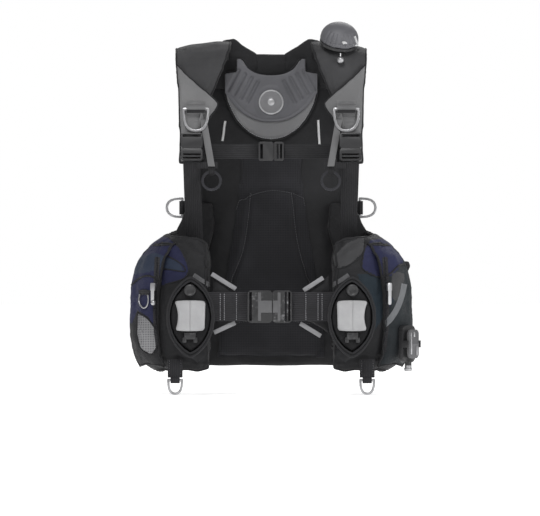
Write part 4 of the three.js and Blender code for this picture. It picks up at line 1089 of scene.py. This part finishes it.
let_in(pockets["right"], 1, [(-260, -50), (-160, -50), (-160, -225), (-192, -225), (-212, -196),
                             (-232, -184), (-242, -206), (-260, -206)])
# the painted fold highlight carries on over the pocket
let_in(pockets["right"], 5, FOLD_HIGHLIGHT_PATCH)
let_in(pockets["right"], 2, [(-231, -189), (-212, -200), (-193, -228), (-196, -245), (-208, -260),
                             (-226, -250), (-233, -224)])
let_in(pockets["left"], 1, [(150, -50), (222, -50), (230, -100), (212, -122), (188, -128), (150, -112)])
let_in(pockets["left"], 3, [(150, -112), (188, -128), (202, -122), (200, -160), (214, -166), (164, -232),
                            (150, -200)])
let_in(pockets["left"], 4, [(210, -119), (222, -117), (232, -121), (229, -150), (216, -168), (206, -158)])
let_in(pockets["left"], 1, [(183, -163), (210, -163), (206, -176), (196, -184), (184, -182)])
RIGHT_FLAP = [(-243, -140), (-228, -128), (-212, -124), (-196, -131), (-182, -142)]
sewn_line(pockets["right"], "flap_edge_right", RIGHT_FLAP, 0.0016, piping_tape, slot_name="pocket_cloth")
DRAIN_SEAM = [(-232, -188), (-213, -199), (-194, -228), (-197, -246), (-208, -260), (-226, -250),
              (-233, -224), (-232, -190)]
sewn_line(pockets["right"], "drain_seam_right", DRAIN_SEAM, 0.0012, piping_tape, slot_name="pocket_cloth")
LEFT_FLAP = [(176, -126), (190, -128), (206, -120), (222, -106), (236, -104)]
sewn_line(pockets["left"], "flap_edge_left", LEFT_FLAP, 0.0016, piping_tape, slot_name="pocket_cloth")
SLANTED_BAND = [(176, -224), (190, -214), (205, -200), (217, -182), (226, -160), (231, -138)]
slant = tape("pocket_band_left", pockets["left"], SLANTED_BAND, 0.010)
belongs(paint(slant, light_band), "vest", "pocket_cloth")
for side, way in (("left", 1), ("right", -1)):
    zip_line = [(way * 197, -92), (way * 199, -130), (way * 200, -170), (way * 199, -215),
                (way * 194, -255)]
    track = tape(f"zip_tape_{side}", pockets[side], zip_line, 0.009, 0.0007, 0.0003, 40)
    belongs(paint(track, belt_webbing), "vest", "pocket_cloth")
    flat = curve_through([(x / 1000, 0, z / 1000) for x, z in zip_line], 10)
    teeth = stitches(f"zip_teeth_{side}", front_of(pockets[side], [(p[0], p[2]) for p in flat], 0.0012),
                     0.0024, 0.0018, 0.0016)
    belongs(paint(teeth, dark_metal), "vest", "pocket_cloth")
    slider = moulded(f"zip_slider_{side}", f"zip_pull_{side}", 0.0012, 2)
    belongs(paint(slider, bright_trim), f"zip_slider_{side}", "ring_steel", f"zip_slider_{side}")
hook_path = [(-0.2265, -0.156), (-0.2275, -0.169), (-0.2215, -0.179), (-0.2145, -0.177), (-0.2115, -0.168),
             (-0.212, -0.157)]
hook = bead("pocket_hook_right", curve_through(front_of(pockets["right"], hook_path, 0.0022), 6), 0.0015)
belongs(paint(hook, steel), "vest", "ring_steel")
hook_tab = tape("hook_tab_right", pockets["right"], [(-228, -154), (-219, -152), (-210, -154)], 0.009,
                0.0012, 0.0012)
belongs(paint(hook_tab, belt_webbing), "vest", "pocket_cloth")
slider_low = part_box("zip_slider_right")[0]
bpy.ops.object.select_all(action="DESELECT")
bpy.ops.mesh.primitive_uv_sphere_add(segments=24, ring_count=16, radius=0.0048)
ball = bpy.context.object
ball.name = "zip_ball_right"
ball.data.transform(Matrix.Translation((-0.2035, slider_low[1] + 0.001, -0.1705)))
ball.data.shade_smooth()
belongs(paint(ball, bright_trim), "zip_slider_right", "ring_steel")

# ---------------------------------------------------------------------------
# Gussets: folded black nylon that closes the corners where the lobes leave
# the jacket's back, and the collar's wings between the neck and the straps.
# ---------------------------------------------------------------------------
def cushion(name, outline, front, rear, voxel=0.003, swell=0.0015, seed=1.0):
    """a flat bag of cloth cut to an outline in front view, in millimetres"""
    count = len(outline)
    verts = [(x / 1000, y, z / 1000) for y in (front, rear) for x, z in outline]
    faces = [tuple(range(count)), tuple(range(2 * count - 1, count - 1, -1))]
    faces += [(i, i + count, (i + 1) % count + count, (i + 1) % count) for i in range(count)]
    piece = face_out(made_of(name, verts, [], faces))
    modify(piece, "REMESH", mode="VOXEL", voxel_size=voxel)
    modify(piece, "SMOOTH", factor=0.5, iterations=4)
    modify(piece, "SUBSURF", levels=1, render_levels=1)
    piece.data.shade_smooth()
    ruffle(piece, swell, 0.02, seed=seed)
    return piece


GUSSET = [(104, 4), (146, 4), (160, -30), (172, -52), (160, -80), (112, -84), (100, -40)]
COLLAR_WING = [(22, 240), (24, 268), (40, 277), (66, 295), (86, 292), (96, 262), (100, 205), (50, 205)]
for side, way in (("left", 1), ("right", -1)):
    gusset = cushion(f"waist_gusset_{side}", [(way * x, z) for x, z in GUSSET], -0.062, -0.03, seed=7.0)
    belongs(paint(gusset, shell_nylon), "vest", "shell_cloth")
    wing = cushion(f"collar_wing_{side}", [(way * x, z) for x, z in COLLAR_WING], -0.0478, -0.028, seed=3.0)
    belongs(paint(wing, shell_nylon), "vest", "shell_cloth")

pull_tab = cushion("pocket_pull_left", [(222, -98), (240, -99), (243, -107), (236, -122), (226, -126)],
                   -0.168, -0.163, 0.0018, 0.0006, 5.0)
belongs(paint(pull_tab, shell_nylon), "vest", "pocket_cloth")

# ---------------------------------------------------------------------------
# Weight holsters and pouches: a stiff black pointed-oval cup on each lobe,
# holding a zipped bag with a light grey moulded grip, a button and a latch.
# ---------------------------------------------------------------------------
holster_nylon = coated_nylon("holster_nylon", (0.005, 0.005, 0.0058), thread_size=0.0014, sheen=0.02)
grip_plastic = moulded_plastic("grip_plastic", (0.265, 0.265, 0.27), 0.5, wear=(0.5, 0.5, 0.5))
# near-black cloth for the holster's binding and for the band round its foot; that band is painted shadow of
# the holster
binding_and_shadow_band = coated_nylon("binding_and_shadow_nylon", (0.013, 0.013, 0.0145), sheen=0.03)
holster = copy_of("weight_holster_left", "holster_cup_left")
modify(holster, "REMESH", mode="VOXEL", voxel_size=0.0018)
modify(holster, "SMOOTH", factor=0.5, iterations=5)
holster.data.shade_smooth()
MOUTH_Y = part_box("weight_holster_left")[0][1]
holster_rim = rim("weight_holster_left", holster, "holster_binding_left", 0.0019,
                  lambda x, y, z: y < MOUTH_Y + 0.001, lift=0.0002)
bag = copy_of("weight_pouch_left", "pouch_bag_left")
bpy.ops.object.mode_set(mode="EDIT")
bpy.ops.mesh.select_all(action="SELECT")
bpy.ops.mesh.bisect(plane_co=(0, -0.2531, 0), plane_no=(0, -1, 0), clear_outer=True, use_fill=True)
bpy.ops.object.mode_set(mode="OBJECT")
modify(bag, "REMESH", mode="VOXEL", voxel_size=0.0022)
modify(bag, "SMOOTH", factor=0.5, iterations=6)
modify(bag, "SUBSURF", levels=1, render_levels=1)
ruffle(bag, 0.0009, 0.013, seed=30.0)
bag.data.shade_smooth()


def grip(name, middle_x, middle_z, front, thick=0.0058, half=0.026, tall=0.0265, outer=1):
    """a moulded handle: hollowed outer edge, a crease down the middle, rounded corners"""
    bpy.ops.object.select_all(action="DESELECT")
    bpy.ops.mesh.primitive_cube_add(size=2)
    piece = bpy.context.object
    piece.name = name
    bpy.ops.object.mode_set(mode="EDIT")
    bpy.ops.mesh.subdivide(number_cuts=31)
    bpy.ops.object.mode_set(mode="OBJECT")
    places = corners(piece)
    u, depth, v = places[:, 0], places[:, 1], places[:, 2]
    corner = np.clip((np.abs(v) - 0.8) / 0.2, 0, 1)
    reach = half * (1 - 0.1 * corner ** 2)
    hollow = 0.0055 * (1 - v ** 2) * (u * outer > 0)
    flare = 1 + 0.03 * v
    x = u * (reach - hollow) * flare
    z = v * tall * (1 - 0.05 * np.abs(u) ** 3)
    crease = 0.0016 * np.exp(-((u / 0.045) ** 2))
    tilt = 0.0012 * np.abs(u) ** 2 + 0.0022 * np.clip((np.abs(u) - 0.86) / 0.14, 0, 1) ** 2
    roll = 0.0022 * np.clip((np.abs(v) - 0.86) / 0.14, 0, 1) ** 2
    face = front + crease + tilt + roll
    rear = front + thick
    y = face + (depth + 1) * (rear - face) / 2
    move_to(piece, np.stack([x + middle_x, y, z + middle_z], axis=1))
    return round_edges(piece, 0.0008, 2)


BUTTON_PROFILE = [(0.0102, 0), (0.0104, 0.003), (0.0098, 0.0046), (0.0075, 0.0054), (0.006, 0.0046),
                  (0.0005, 0.0044)]
for side, way in (("left", 1), ("right", -1)):
    cup = on_side(holster, side, "holster_cup")
    belongs(paint(cup, holster_nylon), "vest", "shell_cloth", f"weight_holster_{side}")
    belongs(paint(on_side(holster_rim, side, "holster_binding"), binding_and_shadow_band), "vest", "shell_cloth")
    sack = on_side(bag, side, "pouch_bag")
    belongs(paint(sack, holster_nylon), f"weight_pouch_{side}", "pocket_cloth", f"weight_pouch_{side}")
    handle_piece = grip(f"pouch_grip_{side}", way * 0.140, -0.1925, -0.2614, outer=way)
    belongs(paint(handle_piece, grip_plastic), f"weight_pouch_{side}", "grip_plastic")
    button = turned(f"pouch_button_{side}", BUTTON_PROFILE, (way * 0.140, -0.2526, -0.1485), sides=40)
    belongs(paint(button, buckle_plastic), f"weight_pouch_{side}", "buckle_plastic")
    latch = [block("latch", (way * 0.140 - 0.010, -0.2575, -0.2335),
                   (way * 0.140 + 0.010, -0.2525, -0.2215), 0.0015),
             block("latch", (way * 0.140 - 0.013, -0.2570, -0.2390),
                   (way * 0.140 - 0.006, -0.2525, -0.2300), 0.0012),
             block("latch", (way * 0.140 + 0.006, -0.2570, -0.2390),
                   (way * 0.140 + 0.013, -0.2525, -0.2300), 0.0012)]
    latch = joined(latch, f"pouch_latch_{side}")
    belongs(paint(latch, buckle_plastic), f"weight_pouch_{side}", "buckle_plastic")

# ---------------------------------------------------------------------------
# Belt: padded wings on the lobes with light grey stripes, two runs of 50 mm
# webbing, and a big side-release buckle with a grey H-shaped face.
# ---------------------------------------------------------------------------
stripe_cloth = coated_nylon("stripe_cloth", (0.22, 0.22, 0.23), light=(0.32, 0.32, 0.33),
                            thread_size=0.0009, roughness=0.5)
dim_stripe = coated_nylon("dim_stripe", (0.1, 0.1, 0.105), light=(0.15, 0.15, 0.155), thread_size=0.0009)
belt_wing = stuffed("belt_wing_left", "belt_wing_cover_left", voxel=0.003, start_in=0.0018, cap=0.003)
ruffle(belt_wing, 0.0006, 0.018, seed=14.0)
wing_rim = rim("belt_wing_left", belt_wing, "belt_wing_binding_left", 0.0013, lambda x, y, z: y < -0.2215)
FAR_STRIPE = [(104, -141), (118, -133), (134, -122)]
# where the holster's shadow falls on the lobe, along its inner side and round its foot
HOLSTER_SHADOW_LINE = [(110, -160), (104, -190), (105, -225), (114, -252), (132, -270)]
STRIPE_WIDTH = 0.0075
STRIPE_FRONT = -0.2236
STRIPE_THICK = 0.0014
STRIPES = {"left": (((56, -149), (90, -127)), ((50, -206), (86, -228))),
           "right": (((-61, -146.5), (-103, -120.5)), ((-62, -205), (-99, -222)))}


def bar(name, start, end, width, front, thick):
    """a straight flat strip lying across the front, between two places in millimetres"""
    length = math.dist(start, end) / 1000
    piece = block(name, (-length / 2, front, -width / 2), (length / 2, front + thick, width / 2), 0.0004, 2)
    turn = Matrix.Rotation(-math.atan2(end[1] - start[1], end[0] - start[0]), 4, "Y")
    middle = Matrix.Translation(((start[0] + end[0]) / 2000, 0, (start[1] + end[1]) / 2000))
    piece.data.transform(middle @ turn)
    return piece


for side, way in (("left", 1), ("right", -1)):
    body = on_side(belt_wing, side, "belt_wing_cover")
    belongs(paint(body, shell_nylon), "vest", "shell_cloth", f"belt_wing_{side}")
    belongs(paint(on_side(wing_rim, side, "belt_wing_binding"), piping_tape), "vest", "shell_cloth")
    for level, (start, end) in zip(("upper", "lower"), STRIPES[side]):
        stripe = bar(f"belt_stripe_{level}_{side}", start, end, STRIPE_WIDTH, STRIPE_FRONT, STRIPE_THICK)
        belongs(paint(stripe, stripe_cloth), "vest", "shell_cloth")
    far_line = [(way * x, z) for x, z in FAR_STRIPE]
    far = tape(f"lobe_stripe_{side}", lobes[side], far_line, 0.007, 0.0009, 0.0005)
    belongs(paint(far, dim_stripe), "vest", "shell_cloth")
    # a dark tape hugging the holster's inner side and foot: painted shadow cast by the holster
    shadow_path = [(way * x, z) for x, z in HOLSTER_SHADOW_LINE]
    holster_shadow_tape = tape(f"holster_shadow_band_{side}", lobes[side], shadow_path, 0.012, 0.001, 0.0005, 40)
    belongs(paint(holster_shadow_tape, binding_and_shadow_band), "vest", "shell_cloth")
    carrier = "vest" if way < 0 else "waist_plug"
    run = moulded(f"belt_webbing_{side}", f"belt_strap_{side}", 0.0007, 2)
    belongs(paint(run, belt_webbing), carrier, "webbing", f"belt_webbing_{side}")
    low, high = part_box(f"belt_webbing_{side}")
    for number, x in enumerate((0.06, 0.081, 0.088)):
        line = [(way * x, low[1] - 0.0002, low[2] + 0.003), (way * x, low[1] - 0.0002, high[2] - 0.003)]
        belongs(paint(stitches(f"belt_stitches_{side}_{number}", line, 0.0036, 0.0026, 0.0006),
                      grey_thread), carrier, "webbing")

face_grey = moulded_plastic("buckle_face", (0.07, 0.07, 0.073), 0.42)
BUCKLE_LOW, BUCKLE_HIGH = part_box("waist_buckle_socket")
BUCKLE_FRONT = BUCKLE_LOW[1]
BUCKLE_Z = (BUCKLE_LOW[2] + BUCKLE_HIGH[2]) / 2
SOCKET_BARS = [(-0.023, -0.0175, 0.0245), (-0.019, 0.0012, 0.0105)]
PLUG_BARS = [(0.0108, 0.0162, 0.0245), (0.0028, 0.0125, 0.0105)]
for name, node, carrier, spans in (
        ("waist_socket", "waist_buckle_socket", "vest", SOCKET_BARS),
        ("waist_plug", "waist_buckle_plug", "waist_plug", PLUG_BARS)):
    shell = moulded(node, f"{name}_shell", 0.0012, 3)
    belongs(paint(shell, buckle_plastic), carrier, "buckle_plastic", node)
    bars = [block("bar", (a, BUCKLE_FRONT - 0.0016, BUCKLE_Z - half),
                  (b, BUCKLE_FRONT + 0.001, BUCKLE_Z + half), 0.0011, 3)
            for a, b, half in spans]
    face = joined(bars, f"{name}_face")
    belongs(paint(face, face_grey), carrier, "buckle_plastic")
fold_left = block("belt_fold_right", (-0.0395, -0.2335, -0.2015), (-0.0345, -0.2262, -0.1525), 0.0012, 3)
belongs(paint(fold_left, belt_webbing), "vest", "webbing")
fold_right = block("belt_fold_left", (0.0262, -0.2335, -0.2015), (0.0305, -0.2262, -0.1525), 0.0012, 3)
belongs(paint(fold_right, belt_webbing), "waist_plug", "webbing")

# ---------------------------------------------------------------------------
# Sternum strap: 25 mm webbing across the chest with a small side-release
# buckle in the middle.
# ---------------------------------------------------------------------------
dark_webbing = webbing("sternum_webbing", (0.013, 0.013, 0.0145))
for side in ("left", "right"):
    run = moulded(f"sternum_webbing_{side}", f"sternum_strap_{side}", 0.0006, 2)
    paint(run, dark_webbing)
    if side == "right":
        belongs(run, "vest", "webbing", "sternum_webbing_right")
        continue
    low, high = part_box("sternum_webbing_left")
    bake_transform(run)
    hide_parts("sternum_webbing_left")
for name, carrier in (("sternum_buckle_socket", "vest"), ("sternum_buckle_plug", "sternum_plug")):
    shell = moulded(name, f"{name}_shell", 0.0008, 2)
    belongs(paint(shell, buckle_plastic), carrier, "buckle_plastic", name)

# ---------------------------------------------------------------------------
# Shoulder dump valve: a domed grey cover with a pale bead down one edge that is a painted highlight,
# a black hood and body beneath it, and the pull knob.
# ---------------------------------------------------------------------------
across = Vector((0.9902, 0.0655, -0.1232))
up = Vector((0.1395, -0.4649, 0.8743))
ahead = up.cross(across)
valve_place = Vector((0.118, -0.12223, 0.28197))


def at_valve(x, y, z):
    return valve_place + across * x + ahead * y + up * z


cover = copy_of("shoulder_valve_cover", "dump_valve_dome")
modify(cover, "REMESH", mode="VOXEL", voxel_size=0.002)
modify(cover, "SMOOTH", factor=0.5, iterations=6)
modify(cover, "SUBSURF", levels=1, render_levels=1)
cover.data.shade_smooth()
ribs = []
for turn in range(-3, 4):
    start = math.radians(90 + turn * 16)
    ribs.append([at_valve(r * math.cos(start), -abs(r * math.sin(start)), h)
                 for r, h in ((0.0335, 0.011), (0.031, 0.022), (0.026, 0.029))])
fold_down(cover, [[tuple(p) for p in line] for line in ribs], 0.0009, 0.0022)
collar_ring = [tuple(at_valve(0.0325 * math.cos(a), 0.0325 * math.sin(a), 0.0135))
               for a in np.linspace(0, 2 * math.pi, 49)]
fold_down(cover, [collar_ring], 0.0008, 0.0016)
belongs(paint(cover, dome_plastic), "vest", "dome_plastic", "shoulder_valve_cover")
# a pale bead down the dome's right edge: a painted highlight on the dome
highlight_path = front_of(cover, [(0.1435, 0.266), (0.1475, 0.272), (0.1490, 0.279), (0.1480, 0.287),
                             (0.1455, 0.294)], 0.0004)
dome_highlight_piece = bead("dump_valve_dome_highlight", curve_through(highlight_path, 5), 0.0022)
belongs(paint(dome_highlight_piece, pale_piping_and_highlight), "vest", "dome_plastic")
valve_base = moulded("shoulder_valve_body", "dump_valve_body", 0.0012, 3)
belongs(paint(valve_base, black_plastic), "vest", "buckle_plastic", "shoulder_valve_body")
hood = turned("dump_valve_hood", [(0.0325, 0.0), (0.0335, 0.001), (0.0335, 0.0055), (0.032, 0.0062),
                                  (0.004, 0.0062)],
              (0, 0, 0), axis="Z")
hood.data.transform(Matrix.Translation(valve_place) @ Matrix((across, ahead, up)).transposed().to_4x4())
belongs(paint(hood, black_plastic), "vest", "buckle_plastic")
knob = moulded("shoulder_valve_knob", "dump_valve_knob", 0.0004, 1)
modify(knob, "SUBSURF", levels=1, render_levels=1)
belongs(paint(knob, bright_trim), "valve_knob", "grip_plastic", "shoulder_valve_knob")

# ---------------------------------------------------------------------------
# Rear dump valve: a round black body low on the back, with a knob on a cord.
# ---------------------------------------------------------------------------
REAR_LOW, REAR_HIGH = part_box("rear_valve_body")
rear_middle = (REAR_LOW + REAR_HIGH) / 2
rear_body = moulded("rear_valve_body", "rear_valve_base", 0.0016, 3)
vents = []
for i in range(12):
    angle = 2 * math.pi * i / 12
    x = rear_middle[0] + 0.0155 * math.cos(angle)
    z = rear_middle[2] + 0.0155 * math.sin(angle)
    vents.append(block("vent", (x - 0.0018, REAR_HIGH[1] - 0.001, z - 0.0018),
                       (x + 0.0018, REAR_HIGH[1] + 0.0012, z + 0.0018), 0.0008))
rear_body = joined([rear_body] + vents, "rear_valve_base")
smooth_edges(rear_body)
belongs(paint(rear_body, black_plastic), "vest", "buckle_plastic", "rear_valve_body")
rear_pull = moulded("rear_valve_knob", "rear_valve_pull", 0.0004, 1)
modify(rear_pull, "SUBSURF", levels=1, render_levels=1)
belongs(paint(rear_pull, grip_plastic), "rear_valve_knob", "grip_plastic", "rear_valve_knob")

# ---------------------------------------------------------------------------
# Power inflator: black body with its hose inlet, a rocking lever with bright
# metal faces, and two small bright buttons.
# ---------------------------------------------------------------------------
inflator = moulded("inflator_body", "inflator_shell", 0.0014, 3)
belongs(paint(inflator, buckle_plastic), "vest", "buckle_plastic", "inflator_body")
rocker = moulded("inflator_lever", "inflator_rocker", 0.0014, 3)
belongs(paint(rocker, face_grey), "inflator_lever", "grip_plastic", "inflator_lever")
lever_place = Vector((0.244636, -0.205711, -0.242))
along = Vector((0.625921, 0.779886, 0))
outwards = Vector((0.779886, -0.625921, 0))
trims = []
for shift, low, high, wide in ((-0.0085, -0.018, 0.02, 0.0035), (0.0075, -0.02, -0.004, 0.003),
                               (0.0, 0.012, 0.021, 0.004)):
    facing = block("trim", (-wide / 2, -0.0008, low), (wide / 2, 0.0014, high), 0.0008)
    frame_of = Matrix((along, -outwards, Vector((0, 0, 1)))).transposed().to_4x4()
    facing.data.transform(Matrix.Translation(lever_place + along * shift + outwards * 0.0045) @ frame_of)
    trims.append(facing)
trim = joined(trims, "inflator_trim")
belongs(paint(trim, bright_trim), "inflator_lever", "ring_steel")
INLET_X, INLET_Y = 0.237617, -0.200078
fitting = turned("inlet_nipple", [(0.0068, 0), (0.0072, 0.001), (0.0072, 0.004), (0.0062, 0.005),
                                  (0.0062, 0.009), (0.0058, 0.0095)],
                 (INLET_X, INLET_Y, -0.2885), axis="Z", sides=32)
belongs(paint(fitting, steel), "vest", "ring_steel")

# ---------------------------------------------------------------------------
# Hem tabs: 26 mm webbing sewn on the bottom of each lobe, folded round the
# lower rings.
# ---------------------------------------------------------------------------
for side in ("left", "right"):
    tab = moulded(f"bottom_ring_tab_{side}", f"hem_tab_{side}", 0.0008, 2)
    belongs(paint(tab, webbing(f"hem_webbing_{side}", (0.014, 0.014, 0.016), upright=True)), "vest",
            "webbing", f"bottom_ring_tab_{side}")
    low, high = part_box(f"bottom_ring_tab_{side}")
    for number, x in enumerate((low[0] + 0.003, high[0] - 0.003)):
        line = [(x, low[1] + 0.0037, high[2] - 0.003), (x, low[1] + 0.0037, low[2] + 0.014)]
        belongs(paint(stitches(f"hem_stitches_{side}_{number}", line), black_thread), "vest", "webbing")

# ---------------------------------------------------------------------------
# Studio: a white room with a pale floor, a broad soft light above the front,
# a weaker one on one side and one behind. The camera stands straight in front.
# ---------------------------------------------------------------------------
bpy.ops.object.select_all(action="DESELECT")
bpy.ops.mesh.primitive_plane_add(size=30, location=(0, 0, cad_low[2] - 0.001))
floor = bpy.context.object
floor.name = "studio_floor"
floor_paint = Recipe("studio_paper", (0.93, 0.93, 0.93), 0.6)
floor_paint.set(floor_paint.shader, "Base Color",
                floor_paint.tint(floor_paint.noise(3, 3), (0.92, 0.92, 0.92), (0.95, 0.95, 0.95)))
floor_paint.set(floor_paint.shader, "Emission Color", (1, 1, 1, 1))
floor_paint.set(floor_paint.shader, "Emission Strength", 0.68)
paint(floor, floor_paint.material)

world = bpy.data.worlds.new("studio_air")
world.use_nodes = True
air = world.node_tree
soft_air = air.nodes["Background"]
soft_air.inputs["Strength"].default_value = 0.38
white_air = air.nodes.new("ShaderNodeBackground")
white_air.inputs["Color"].default_value = (1, 1, 1, 1)
soft_air.inputs["Color"].default_value = (1, 1, 1, 1)
seen = air.nodes.new("ShaderNodeLightPath")
either = air.nodes.new("ShaderNodeMixShader")
air.links.new(seen.outputs["Is Camera Ray"], either.inputs[0])
air.links.new(soft_air.outputs[0], either.inputs[1])
air.links.new(white_air.outputs[0], either.inputs[2])
air.links.new(either.outputs[0], air.nodes["World Output"].inputs["Surface"])
bpy.context.scene.world = world


def softbox(name, place, energy, size):
    bpy.ops.object.light_add(type="AREA", location=place)
    lamp = bpy.context.object
    lamp.name = name
    lamp.data.energy = energy
    lamp.data.size = size
    lamp.rotation_euler = (Vector((0, -0.1, -0.05)) - Vector(place)).to_track_quat("-Z", "Y").to_euler()


softbox("key_light", (-0.35, -2.1, 2.2), 52, 1.1)
softbox("side_light", (1.9, -1.4, 0.6), 17, 0.8)
softbox("rear_light", (0.4, 1.8, 1.8), 24, 1.2)

SEEN_WIDTH = 0.945
CAMERA_AWAY = 8.0
FOCUS_Y = -0.13
bpy.ops.object.camera_add(location=(-0.002, FOCUS_Y - CAMERA_AWAY, -0.093),
                          rotation=(math.radians(90), 0, 0))
camera = bpy.context.object
camera.data.angle = 2 * math.atan(SEEN_WIDTH / 2 / CAMERA_AWAY)
bpy.context.scene.camera = camera
bpy.context.scene.view_settings.view_transform = "Standard"
